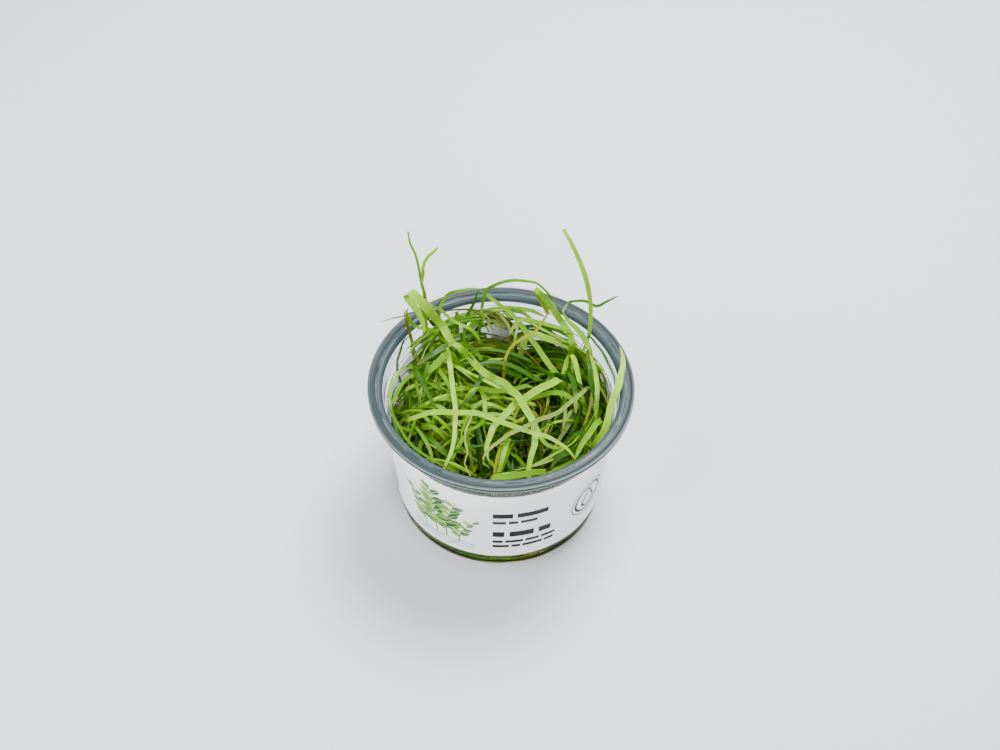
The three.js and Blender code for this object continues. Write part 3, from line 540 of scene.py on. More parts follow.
def draw_sprig(work, colours, root, height, lean, leaves):
    """A stem with pairs of broad oval leaves, in the flat manner of a botanical print."""
    stem = [(root[0] + lean * (k / 12) ** 2, root[1] + height * k / 12) for k in range(13)]
    print_strip(work, stem, [0.6 - 0.02 * k for k in range(13)], "#3f6f22", colours, 2)
    steps = 8
    for n in range(leaves):
        share = 0.16 + 0.8 * n / leaves
        base = Vector((root[0] + lean * share ** 2, root[1] + height * share))
        way = math.radians((38 if n % 2 else 142) + (n % 3 - 1) * 9)
        length = height * 0.36 * (1 - 0.45 * share)
        line = [(base.x + math.cos(way) * length * k / steps,
                 base.y + math.sin(way) * length * k / steps - 0.9 * (k / steps) ** 2)
                for k in range(steps + 1)]
        widths = [0.12 + length * 0.42 * math.sin(math.pi * (k / steps) ** 0.8) for k in range(steps + 1)]
        tint = SPRIG_TINTS[n % len(SPRIG_TINTS)]
        print_strip(work, line, widths, tint, colours, lift=0.04 + 0.004 * n)
        print_strip(work, line, [0.16] * (steps + 1), "#cfe0a0", colours, 1, 0.1)


def draw_words(work, colours, start, height, words, thickness, tone=INK):
    """A line of plain blocks as long as words, where a label has lettering."""
    u = start
    for length in words:
        line = [(u + length * k / 6, height) for k in range(7)]
        print_strip(work, line, [thickness] * 7, tone, colours, 2)
        u += length + WORD_GAP * thickness


def draw_label(work, colours):
    """The label's generic design: broad-leaved sprigs over water, blocks for words, a drop in a ring, and
    bars."""
    for root, lean, height, leaves in (((-31, 14.5), -7, 21, 9), ((-25.5, 13.5), -2, 30, 13),
                                       ((-21, 14), 5, 25, 11), ((-15.5, 13.5), 8, 17, 8)):
        draw_sprig(work, colours, root, height, lean, leaves)
    for n, tint in enumerate(WATER_TINTS):
        line = [(-37 + 28 * k / 24, 13.2 - 1.7 * n + 0.45 * math.sin(k * 1.05 + n)) for k in range(25)]
        print_strip(work, line, [0.5] * 25, tint, colours, 1)
    draw_words(work, colours, -2, 35.5, (7.5, 12), 3.0)
    draw_words(work, colours, -2, 30.8, (5, 3.5, 6.5), 1.9, SOFT_INK)
    draw_words(work, colours, -2, 22.6, (4.5, 9.5, 5), 3.6)
    draw_words(work, colours, -2, 17.3, (4, 7, 5.5, 6), 1.7)
    draw_words(work, colours, -2, 14.0, (6.5, 3.5, 8, 4), 1.7)
    for radius, width in ((7.2, 1.1), (9.2, 0.5)):
        print_strip(work, arc_line((40, 25.5), radius, 0, 360, 48), [width] * 49, INK, colours, 1)
    drop = [(40, 31)] + arc_line((40, 23.8), 3.3, 150, 390, 24)[::-1] + [(40, 31)]
    print_strip(work, drop, [1.0] * len(drop), INK, colours, 1)
    for n, width in enumerate(BAR_WIDTHS):
        print_strip(work, [(-66 + 1.1 * n, 11), (-66 + 1.1 * n, 20)], [width] * 2, INK, colours, 2)
    for n, words in enumerate(((9, 5, 6), (4, 10, 7), (7, 6, 3), (11, 5), (5, 8, 6), (9, 9), (6, 4))):
        draw_words(work, colours, 60, 38 - 3.2 * n, words, 1.1, SOFT_INK)
    for n, words in enumerate(((8, 10), (12, 5), (6, 7, 5), (9, 4), (5, 5, 8))):
        draw_words(work, colours, -86, 34 - 3.2 * n, words, 1.1, SOFT_INK)


def lay_seam(work):
    """The sleeve's overlap at the back, as a second thickness of paper."""
    half_turn = math.pi * sleeve_radius(LABEL_MIDDLE)
    heights = (LABEL_BOTTOM + 0.1, LABEL_TOP - 0.1)
    rows = []
    for k in range(SEAM_STEPS + 1):
        u = half_turn + SEAM_WIDTH * (k / SEAM_STEPS - 0.5)
        rows.append([work.verts.new(on_label(u, height, lift)) for height, lift in
                     ((heights[0], -0.05), (heights[0], 0.13), (heights[1], 0.13), (heights[1], -0.05))])
    for low, high in zip(rows, rows[1:]):
        for k in range(4):
            work.faces.new((low[k], high[k], high[(k + 1) % 4], low[(k + 1) % 4]))
    work.faces.new(rows[0])
    work.faces.new(rows[-1][::-1])
    bmesh.ops.recalc_face_normals(work, faces=work.faces)


def label_film(colour):
    """Coated label paper, printed flat: white, faintly fibrous in grains of 1.4 mm and cloudy in patches of
    22 mm, with a satin coat, and light spreads inside it."""
    material, tree, shader, place = new_material("coated_label_paper")
    fibre, cloud = [add_node(tree, "ShaderNodeTexNoise", {"Vector": place, "Scale": scale, "Detail": detail})
                    for scale, detail in ((700.0, 4.0), (45.0, 2.0))]
    both = add_node(tree, "ShaderNodeMath", {0: fibre, 1: cloud}, operation="MULTIPLY")
    shade = [c * PAPER_SHADE for c in colour] + [1.0]
    tint = add_node(tree, "ShaderNodeValToRGB", {"Fac": both}, [(0.0, shade), (1.0, [*colour, 1.0])])
    bump = add_node(tree, "ShaderNodeBump", {"Height": fibre, "Strength": 0.05, "Distance": 0.0001})
    feed(shader, {"Base Color": tint, "Normal": bump, "Roughness": 0.38, "Subsurface Weight": 0.85,
                  "Subsurface Radius": (1.0, 1.0, 1.0), "Subsurface Scale": 0.0012})
    return material


def label_ink():
    """Offset ink on the label: each motif keeps its own colour, uneven in specks of 0.6 mm, where the
    printing screen shows."""
    material, tree, shader, place = new_material("offset_printing_ink")
    colour = add_node(tree, "ShaderNodeAttribute", attribute_name="print")
    grain = add_node(tree, "ShaderNodeTexNoise", {"Vector": place, "Scale": 1800.0})
    uneven = add_node(tree, "ShaderNodeMapRange", {"Value": grain, "To Min": 0.86, "To Max": 1.1})
    inked = add_node(tree, "ShaderNodeMix", {"Factor": 1.0, 6: colour, 7: uneven}, out=2, data_type="RGBA",
                     blend_type="MULTIPLY")
    feed(shader, {"Base Color": inked, "Roughness": 0.45, "Specular IOR Level": 0.2})
    return material


# Blades swept by geometry nodes


def blade_tree():
    """Sweeps a channelled blade along each chain of points, with its width and facing at each point."""
    tree = bpy.data.node_groups.new("Rush blade", "GeometryNodeTree")
    sockets = (("Geometry", "NodeSocketGeometry"), ("Steps Between Points", "NodeSocketInt"),
               ("Points Around", "NodeSocketInt"), ("Thickness", "NodeSocketFloat"),
               ("Channel", "NodeSocketFloat"), ("Material", "NodeSocketMaterial"))
    for name, kind in sockets:
        tree.interface.new_socket(name, in_out="INPUT", socket_type=kind)
    tree.interface.new_socket("Geometry", in_out="OUTPUT", socket_type="NodeSocketGeometry")
    given = tree.nodes.new("NodeGroupInput").outputs
    half_width, across, along, front = [
        add_node(tree, "GeometryNodeInputNamedAttribute", {"Name": name}, data_type=kind)
        for name, kind in (("half_width", "FLOAT"), ("across", "FLOAT"), ("along", "FLOAT"),
                           ("facing", "FLOAT_VECTOR"))]

    curve = add_node(tree, "GeometryNodeMeshToCurve", {"Mesh": given["Geometry"]})
    smooth = add_node(tree, "GeometryNodeCurveSplineType", {"Curve": curve}, spline_type="CATMULL_ROM")
    steps = add_node(tree, "GeometryNodeSetSplineResolution",
                     {"Geometry": smooth, "Resolution": given["Steps Between Points"]})
    fine = add_node(tree, "GeometryNodeResampleCurve", {"Curve": steps}, mode="EVALUATED")
    facing = add_node(tree, "GeometryNodeSetCurveNormal", {"Curve": fine, "Normal": front}, mode="FREE")

    circle = add_node(tree, "GeometryNodeCurvePrimitiveCircle",
                      {"Resolution": given["Points Around"], "Radius": 1.0}, mode="RADIUS")
    spot = add_node(tree, "ShaderNodeSeparateXYZ", {"Vector": add_node(tree, "GeometryNodeInputPosition")})
    side = spot.node.outputs["Y"]
    bowed = add_node(tree, "ShaderNodeMath", {0: side, 1: side}, operation="MULTIPLY")
    dished = add_node(tree, "ShaderNodeMath", {0: bowed, 1: given["Channel"]}, operation="MULTIPLY")
    thin = add_node(tree, "ShaderNodeMath", {0: spot, 1: given["Thickness"], 2: dished},
                    operation="MULTIPLY_ADD")
    flat = add_node(tree, "ShaderNodeCombineXYZ", {"X": thin, "Y": side})
    marked = add_node(tree, "GeometryNodeStoreNamedAttribute",
                      {"Geometry": circle, "Name": "across", "Value": side}, data_type="FLOAT",
                      domain="POINT")
    profile = add_node(tree, "GeometryNodeSetPosition", {"Geometry": marked, "Position": flat})

    sweep = add_node(tree, "GeometryNodeCurveToMesh",
                     {"Curve": facing, "Profile Curve": profile, "Scale": half_width, "Fill Caps": True})
    chart = add_node(tree, "ShaderNodeCombineXYZ", {"X": across, "Y": along})
    mapped = add_node(tree, "GeometryNodeStoreNamedAttribute",
                      {"Geometry": sweep, "Name": "UVMap", "Value": chart}, data_type="FLOAT2",
                      domain="CORNER")
    shaded = add_node(tree, "GeometryNodeSetShadeSmooth", {"Geometry": mapped})
    real = add_node(tree, "GeometryNodeRealizeInstances", {"Geometry": shaded})
    dressed = add_node(tree, "GeometryNodeSetMaterial", {"Geometry": real, "Material": given["Material"]})
    add_node(tree, "NodeGroupOutput", {"Geometry": dressed})
    return tree


def swept(name, blades, tree, material, steps, around, thickness, channel):
    """A plain mesh of all the blades given, each a dict of points, half widths, facings and a chance."""
    points = [p for b in blades for p in b["points"]]
    edges = []
    first = 0
    for blade in blades:
        count = len(blade["points"])
        edges += [(first + k, first + k + 1) for k in range(count - 1)]
        first += count
    chains = bpy.data.meshes.new(name + "_chains")
    chains.from_pydata([tuple(p * MM) for p in points], edges, [])
    values = {
        "half_width": [h * MM for b in blades for h in b["half"]],
        "along": [k / (len(b["points"]) - 1) for b in blades for k in range(len(b["points"]))],
        "chance": [b["chance"] for b in blades for _ in b["points"]],
    }
    for key, data in values.items():
        chains.attributes.new(key, "FLOAT", "POINT").data.foreach_set("value", data)
    facing = [c for b in blades for f in b["facing"] for c in f]
    chains.attributes.new("facing", "FLOAT_VECTOR", "POINT").data.foreach_set("vector", facing)
    carrier = bpy.data.objects.new(name + "_chains", chains)
    bpy.context.scene.collection.objects.link(carrier)
    modifier = carrier.modifiers.new("Rush blade", "NODES")
    modifier.node_group = tree
    wanted = {"Steps Between Points": steps, "Points Around": around, "Thickness": thickness,
              "Channel": channel, "Material": material}
    for socket in tree.interface.items_tree:
        if socket.in_out == "INPUT" and socket.name in wanted:
            modifier[socket.identifier] = wanted[socket.name]
    graph = bpy.context.evaluated_depsgraph_get()
    mesh = bpy.data.meshes.new_from_object(carrier.evaluated_get(graph), preserve_all_data_layers=True,
                                           depsgraph=graph)
    mesh.name = name
    bpy.data.objects.remove(carrier)
    bpy.data.meshes.remove(chains)
    return mesh


def leaf_tissue(name, lit, shaded, vein, old, shaded_low=False, pale=False):
    """Living rush leaf: waxy and softly translucent, with fine lengthwise veins, pale patches of painted
    sheen mottled in specks of 4 mm, a paler base, and a tip that yellows. Its skin mixes a painted lit face
    and a painted shaded face, in patches and by each leaf's chance. Real veins are about 0.1 mm apart; they
    are drawn three times as coarse to show. Old leaves low in the tub have turned brown, and there they are
    also darkened by painted shade, more towards the bottom."""
    material, tree, shader, place = new_material("rush_tissue_" + name)
    chance = add_node(tree, "ShaderNodeAttribute", out="Fac", attribute_name="chance")
    across = add_node(tree, "ShaderNodeSeparateXYZ", {"Vector": place.node.outputs["UV"]})
    along = across.node.outputs["Y"]
    patch, sheen_speckle = [add_node(tree, "ShaderNodeTexNoise", {"Vector": place, "Scale": scale, "Detail": detail,
                                                           "Roughness": roughness})
                     for scale, detail, roughness in ((110.0, 3.0, 0.6), (260.0, 4.0, 0.7))]
    # Painted light and shade: the lit face's and the shaded face's colours, mixed in patches and by each
    # leaf's chance
    mixing = add_node(tree, "ShaderNodeMath", {0: patch, 1: 0.7, 2: chance}, operation="MULTIPLY_ADD")
    tone = add_node(tree, "ShaderNodeMapRange", {"Value": mixing, "From Min": 0.2, "From Max": 1.3})
    skin = add_node(tree, "ShaderNodeMix", {0: tone, 6: linear(lit), 7: linear(shaded)}, out=2,
                    data_type="RGBA")
    ripple = add_node(tree, "ShaderNodeMath", {0: across, 1: 16.0}, operation="MULTIPLY")
    wave = add_node(tree, "ShaderNodeMath", {0: ripple}, operation="SINE")
    cloud = add_node(tree, "ShaderNodeMath", {0: sheen_speckle, 1: 0.45, 2: patch}, operation="MULTIPLY_ADD")
    worn = add_node(tree, "ShaderNodeMath", {0: chance, 1: 0.22, 2: along}, operation="MULTIPLY_ADD")
    # Coats laid one over the other: what each follows, from where to where, its share at each, its colour
    coats = [(wave, 0.2, 1.0, 0.0, 0.35, vein),
             # Painted sheen: pale patches where a leaf would catch the light
             (cloud, 0.76, 0.98, 0.0, 0.55, PAINTED_SHEEN if pale else vein),
             (along, 0.02, 0.2, 0.5, 0.0, BLANCHED),
             (worn, 1.03, 1.22, 0.0, 0.85, old)]
    if shaded_low:
        # Painted shade and browning, darker towards the bottom of the thicket
        height = add_node(tree, "ShaderNodeSeparateXYZ", {"Vector": place}, out="Z")
        coats.append((height, SHADED_BELOW * MM, UNSHADED_ABOVE * MM, 0.85, 0.0, OLD_GROWTH_IN_SHADE))
    for follows, start, end, first, last, colour in coats:
        share = add_node(tree, "ShaderNodeMapRange", {"Value": follows, "From Min": start, "From Max": end,
                                                      "To Min": first, "To Max": last})
        skin = add_node(tree, "ShaderNodeMix", {0: share, 6: skin, 7: linear(colour)}, out=2,
                        data_type="RGBA")
    rough = add_node(tree, "ShaderNodeMapRange", {"Value": patch, "To Min": 0.3, "To Max": 0.55})
    bump = add_node(tree, "ShaderNodeBump", {"Height": wave, "Strength": 0.25, "Distance": 0.00005})
    feed(shader, {"Base Color": skin, "Roughness": rough, "Normal": bump, "Specular IOR Level": 0.1,
                  "Subsurface Weight": 0.2, "Subsurface Radius": (0.5, 1.0, 0.05),
                  "Subsurface Scale": 0.0006})
    return material


# Single leaves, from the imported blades


def rings_of(node):
    """The rings of three corners along a packed blade, in order, each corner kept in its place."""
    work = bmesh.new()
    work.from_mesh(node.data)
    bmesh.ops.remove_doubles(work, verts=work.verts, dist=2e-6)

    def onward_of(ring, seen):
        return {edge.other_vert(v) for v in ring for edge in v.link_edges} - seen

    cap = next(f for f in work.faces if len(onward_of(f.verts, set(f.verts))) == 3)
    ring = list(cap.verts)
    seen = set(ring)
    rings = [[v.co / MM for v in ring]]
    while near := onward_of(ring, seen):
        middle = sum((v.co for v in ring), Vector()) / 3
        onward = sum((v.co for v in near), Vector()) / 3
        ring = min(itertools.permutations(near), key=lambda trial: sum(
            ((new.co - onward) - (old.co - middle)).length for new, old in zip(trial, ring)))
        seen.update(ring)
        rings.append([v.co / MM for v in ring])
    work.free()
    return rings


def blade_of(node, chance):
    """A packed blade as middle line, half widths and facings, from its base to its tip."""
    rings = rings_of(node)

    def width(ring, keel):
        a, b = [ring[k] for k in range(3) if k != keel]
        return (a - b).length

    keel = max(range(3), key=lambda k: sum(width(ring, k) for ring in rings))
    spans = [width(ring, keel) / 2 for ring in rings]
    start, end = (abs(spans[k] / max(spans) - BASE_SHARE) for k in (0, -1))
    if abs(start - end) < 0.03:
        start, end = rings[0][keel].z, rings[-1][keel].z
    if start > end:
        rings.reverse()
        spans.reverse()
    points, facing = [], []
    for ring in rings:
        a, b = [ring[k] for k in range(3) if k != keel]
        points.append((a + b) / 2)
        facing.append(((a + b) / 2 - ring[keel]).normalized())
    return {"points": points, "half": spans, "facing": facing, "chance": chance}


def rooted(blade, depth):
    """Carries a blade's base on down into the thicket."""
    points, facing, half = blade["points"], blade["facing"], blade["half"]
    way = (points[0] - points[1]).normalized()
    for step in (1, 2, 3):
        drop = Vector((0, 0, -1)).lerp(way, 0.75 - 0.22 * step).normalized()
        points.insert(0, points[0] + drop * depth / 3)
        facing.insert(0, facing[0])
        half.insert(0, half[0] * 0.95)


def tipped(blade, share):
    """Draws a tapering blade out to its point, down to a share of its last width."""
    half = blade["half"]
    if half[-1] < 0.5 * max(half):
        half[-1] *= share


def direction(points, k):
    """Which way a line of points runs at one of them."""
    return (points[min(k + 1, len(points) - 1)] - points[max(k - 1, 0)]).normalized()


def broadened(blade, base, top, tip):
    """Gives a blade its breadth at base, top and tip, as shares of its widest, and turns its upper part
    flat to the front."""
    half, facing, points = blade["half"], blade["facing"], blade["points"]
    last = len(half) - 1
    widest = max(half)
    for k in range(last + 1):
        share = k / last
        half[k] = widest * (base + (top - base) * min(1, 1.5 * share)) * (1 - (1 - tip) * share ** 8)
        along = direction(points, k)
        front = (FRONT - along * FRONT.dot(along)).normalized()
        if front.dot(facing[k]) < 0:
            front = -front
        facing[k] = facing[k].lerp(front, min(1, 2.2 * share)).normalized()


# Thicket


def mat_heights(node):
    """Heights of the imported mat's top on a grid, without the leaves that stand on it."""
    tree = BVHTree.FromPolygons([v.co / MM for v in node.data.vertices],
                                [p.vertices[:] for p in node.data.polygons])
    ticks = np.arange(-GRID_REACH, GRID_REACH + GRID_STEP, GRID_STEP)
    filled = np.full((len(ticks), len(ticks)), np.inf)
    for i, x in enumerate(ticks):
        for k, y in enumerate(ticks):
            hit = tree.ray_cast(Vector((x, y, 100)), Vector((0, 0, -1)))[0]
            if hit is not None:
                filled[i, k] = hit.z
    low = filled.copy()
    for di, dk in itertools.product(range(-2, 3), repeat=2):
        low = np.minimum(low, np.roll(filled, (di, dk), (0, 1)))
    beside = ((1, 0), (-1, 0), (0, 1), (0, -1))
    while not np.isfinite(low).all():
        near = np.min([np.roll(low, s, (0, 1)) for s in beside], axis=0)
        low = np.where(np.isfinite(low), low, near)
    for _ in range(3):
        low = sum(np.roll(low, s, (0, 1)) for s in ((0, 0), *beside)) / 5
    return low


def cell(x, y):
    """The grid cell of a place."""
    size = int(2 * GRID_REACH / GRID_STEP)
    spot = [int(round((c + GRID_REACH) / GRID_STEP)) for c in (x, y)]
    return tuple(min(max(s, 0), size) for s in spot)


def crossed(reach):
    """A step to nowhere and one each way along both axes."""
    return (0, 0), (reach, 0), (-reach, 0), (0, reach), (0, -reach)


def plan_path(zone, chance):
    """A leaf's way over the mat in plan, grown both ways from its middle until it meets the wall."""
    angle = math.radians(chance.uniform(*zone.angles))
    near, far = zone.radii
    radius = math.sqrt(chance.uniform(near ** 2, far ** 2))
    middle = Vector((radius * math.cos(angle), radius * math.sin(angle)))
    around = zone.way == "around"
    any_way = chance.uniform(0, math.tau)
    if around:
        heading = angle + math.pi / 2
    else:
        heading = any_way if zone.way == "free" else math.radians(zone.way)
    heading += math.radians(chance.normal(0, zone.spread)) + math.pi * chance.integers(2)
    curl = chance.normal(0, zone.curl)
    limit = inner_radius(PATH_LEVEL) - WALL_CLEARANCE
    steps = int(chance.uniform(*zone.lengths) / PATH_STEP / 2)
    halves = []
    for way in (-1, 1):
        here = middle.copy()
        turn = heading if way > 0 else heading + math.pi
        bend = curl * way
        half = []
        for _ in range(steps):
            if around:
                side = math.remainder(turn - math.atan2(here.y, here.x), math.tau)
                bend = math.copysign(1 / max(here.length, 12), side) + curl
            here = here + PATH_STEP * Vector((math.cos(turn), math.sin(turn)))
            if here.length > limit:
                if not around:
                    break
                here *= limit / here.length
            turn += bend * PATH_STEP + chance.normal(0, 0.03)
            half.append(here.copy())
        halves.append(half)
    path = [*reversed(halves[0]), middle, *halves[1]]
    return [(spot.x, spot.y) for spot in path]


def covers_window(points):
    """Whether a leaf lies in front of one of the gaps."""
    for spot in points:
        height = spot.z - SIGHT_SLOPE * (WALL_BACK - spot.y)
        for (left, right), (low, high) in WINDOWS:
            if spot.y > WALL_BACK - WINDOW_DEPTH and left < spot.x < right and low < height < high:
                return True
    return False


def lay_leaf(zone, chance, pile):
    """One leaf laid on the pile: it bridges the hollows under it, and the pile grows where it rests."""
    path = plan_path(zone, chance)
    while len(path) < FEWEST_POINTS:
        path = plan_path(zone, chance)
    over = [Vector((x, y, pile[cell(x, y)] + rise)) for x, y in path for rise in (0, zone.lift[1])]
    if covers_window(over):
        return lay_leaf(zone, chance, pile)
    count = len(path)
    width = chance.uniform(*zone.widths)
    share = np.linspace(0, 1, count)
    taper = 1 - TIP_LOSS * np.maximum(0, (share - 0.5) / 0.5) ** 2.2
    half = width / 2 * np.minimum(1, 0.62 + 1.6 * share) * taper
    rest = np.array([max(pile[cell(x + dx, y + dy)] for dx, dy in crossed(GRID_STEP)) for x, y in path])
    apart = PATH_STEP * np.abs(np.arange(count)[:, None] - np.arange(count)[None, :])
    height = np.max(rest[None, :] - apart ** 2 / (2 * zone.bridge), axis=1)
    height += chance.uniform(*zone.lift) + chance.uniform(*zone.rise) * share
    height += chance.uniform(*zone.arch) * np.sin(math.pi * share) ** 1.3
    height -= BASE_DIP * np.maximum(0, 1 - share / BASE_REACH) ** 2
    height += chance.normal(0, 1.5) * np.maximum(0, share - 0.8) / 0.2
    height += 0.3 * np.sin(share * chance.uniform(4, 14) + chance.uniform(0, 6))
    height = np.minimum(height, THICKET_TOP)
    for (x, y), z, reach, ground in zip(path, height, half, rest):
        if z - ground < NEAR_PILE:
            for dx, dy in crossed(reach):
                spot = cell(x + dx, y + dy)
                pile[spot] = max(pile[spot], min(z + BLADE_LIFT, pile[spot] + 0.5))
    points = [Vector((x, y, z)) for (x, y), z in zip(path, height)]
    tilt = math.radians(chance.normal(*zone.tilt)) * math.copysign(1, chance.random() - 0.5)
    twist = chance.normal(0, 0.9)
    facing = []
    for k in range(count):
        along = direction(points, k)
        up = Vector((0, 0, 1))
        up = (up - along * up.dot(along)).normalized()
        facing.append(Matrix.Rotation(tilt + twist * share[k], 3, along) @ up)
    return {"points": points, "half": [max(h, 0.06) for h in half], "facing": facing,
            "chance": chance.random()}


def shaded_packed_stems():
    """The crowded bases of the leaves: brown-green, streaked by the stems that stand in them, which are
    about
    2 mm apart, and darkened with painted shade, as they lie deep under the leaves."""
    return mottled("shaded_packed_rush_stems",
                   [(0.0, linear("#0a0d03")), (0.5, linear("#1b2408")), (1.0, linear("#4a4a14"))],
                   {"Scale": 420.0, "Detail": 4.0, "Distortion": 2.0}, {"Roughness": 0.6},
                   bump={"Strength": 0.8, "Distance": 0.001})


def pressed_inside(mesh):
    """Presses whatever reaches the tub's wall flat against its inner face."""
    for vertex in mesh.vertices:
        height = vertex.co.z / MM
        reach = vertex.co.xy.length / MM
        limit = inner_radius(height) - WALL_FILM
        if height < SHOULDER_BOTTOM and reach > limit:
            vertex.co.xy *= limit / reach


def core_mesh(name, ground, bottom, sink, rings=26, sectors=96):
    """A closed body from a level bottom up to the grid's heights, for what the leaves stand in."""
    work = bmesh.new()
    rows = []
    for ring in range(1, rings + 1):
        row = []
        for sector in range(sectors):
            angle = math.tau * sector / sectors
            radius = (inner_radius(CORE_LEVEL) - CORE_CLEARANCE) * ring / rings
            x, y = radius * math.cos(angle), radius * math.sin(angle)
            height = ground[cell(x, y)] - sink + CORE_RIPPLE * math.sin(1.3 * x) * math.cos(1.1 * y)
            reach = min(1.0, (inner_radius(height) - CORE_CLEARANCE) / max(radius, 1e-6))
            row.append(work.verts.new((x * reach * MM, y * reach * MM, height * MM)))
        rows.append(row)
    foot_radius = (inner_radius(bottom) - CORE_CLEARANCE) * MM
    foot = [work.verts.new(polar(foot_radius, math.tau * s / sectors, bottom * MM)) for s in range(sectors)]
    rows.append(foot)
    top = work.verts.new((0, 0, (ground[cell(0, 0)] - sink) * MM))
    middle = work.verts.new((0, 0, bottom * MM))
    for sector in range(sectors):
        after = (sector + 1) % sectors
        work.faces.new((top, rows[0][sector], rows[0][after]))
        work.faces.new((middle, foot[after], foot[sector]))
        for low, high in zip(rows, rows[1:]):
            work.faces.new((low[sector], high[sector], high[after], low[after]))
    return mesh_from(work, name)


# Roots


def floor_leaf(row, chance):
    """A leaf pressed flat behind the clear band, round the tub's foot."""
    _, start, end, low, high, width = row
    shares = [k / (FLOOR_LEAF_POINTS - 1) for k in range(FLOOR_LEAF_POINTS)]
    points, facing = [], []
    for share in shares:
        angle = math.radians(start + (end - start) * share - 90)
        up = low + (high - low) * share
        points.append(polar(inner_radius(up) - FLOOR_LEAF_INSET, angle, up))
        facing.append(polar(1, angle, 0.2).normalized())
    half = [width / 2 * (0.5 + math.sin(math.pi * share) / 2) for share in shares]
    return {"points": points, "half": half, "facing": facing, "chance": chance}


def root_strand(chance):
    """A root that runs round behind the clear band and dips at random, but not through the floor."""
    height = chance.uniform(*STRAND_HEIGHTS)
    inset = chance.uniform(*STRAND_INSETS)
    start = chance.uniform(0, math.tau)
    span = chance.uniform(*STRAND_SPANS)
    phase = chance.uniform(0, 6)
    points, facing = [], []
    for k in range(STRAND_POINTS):
        angle = start + span * k / (STRAND_POINTS - 1)
        wave = math.sin(phase * 2 + 6 * k / (STRAND_POINTS - 1))
        up = max(1.5, height + 0.9 * wave * min(1, height / 4))
        here = inner_radius(up) - inset - 0.2 * math.sin(phase + 9 * k / (STRAND_POINTS - 1))
        here -= 1.2 * max(0, 1 - (up - FLOOR_THICKNESS) / 1.6)
        points.append(polar(here, angle, up))
        facing.append(polar(1, angle, 0))
    half = [chance.uniform(*STRAND_HALF_WIDTHS)] * STRAND_POINTS
    return {"points": points, "half": half, "facing": facing, "chance": chance.random()}


# Settings


def colour_setting(name, description, colour):
    return FloatVectorProperty(name=name, description=description, subtype="COLOR", size=3, min=0, max=1,
                               default=linear(colour)[:3])


def share_setting(name, description, default):
    return FloatProperty(name=name, description=description, subtype="FACTOR", min=0, max=1, default=default)


def length_setting(name, description, default):
    return FloatProperty(name=name, description=description, unit="LENGTH", min=0, max=0.02, default=default)


class TubSettings(bpy.types.PropertyGroup):
    wall_colour: colour_setting("Wall colour", "Tint of the thin clear wall", "#eef3f4")
    wall_clarity: share_setting("Wall clarity", "How see-through the wall is", 0.99)
    flange_colour: colour_setting("Flange colour", "Tint of the thick hazy flange", "#283335")
    flange_clarity: share_setting("Flange clarity", "How see-through the flange is", 0.24)
    facets: IntProperty(name="Facets", description="Facets round the tub", min=48, max=256, default=192)


class LabelSettings(bpy.types.PropertyGroup):
    colour: colour_setting("Colour", "Colour of the unprinted label", "#f3f6f8")


class LeafSettings(bpy.types.PropertyGroup):
    thickness: share_setting("Thickness", "Half a blade's thickness over half its width", 0.11)
    channel: share_setting("Channel", "Depth of a blade's channel over half its width", 0.2)
    base_depth: length_setting("Base depth", "How far a single leaf's base goes into the mat", 0.011)


class ThicketSettings(bpy.types.PropertyGroup):
    seed: IntProperty(name="Seed", description="Start of the random lay of the leaves", min=0, default=11)
    depth: length_setting("Depth", "Depth of the loose leaves over the packed stems", 0.007)


class StageSettings(bpy.types.PropertyGroup):
    floor: colour_setting("Floor", "Colour of the floor", "#a3a7ab")
    key: FloatProperty(name="Key light", description="Strength of the main light", unit="POWER", min=0,
                       default=27)


SETTINGS = {"rush_tub": TubSettings, "rush_label": LabelSettings, "rush_leaves": LeafSettings,
            "rush_thicket": ThicketSettings, "rush_stage": StageSettings}


# Operators


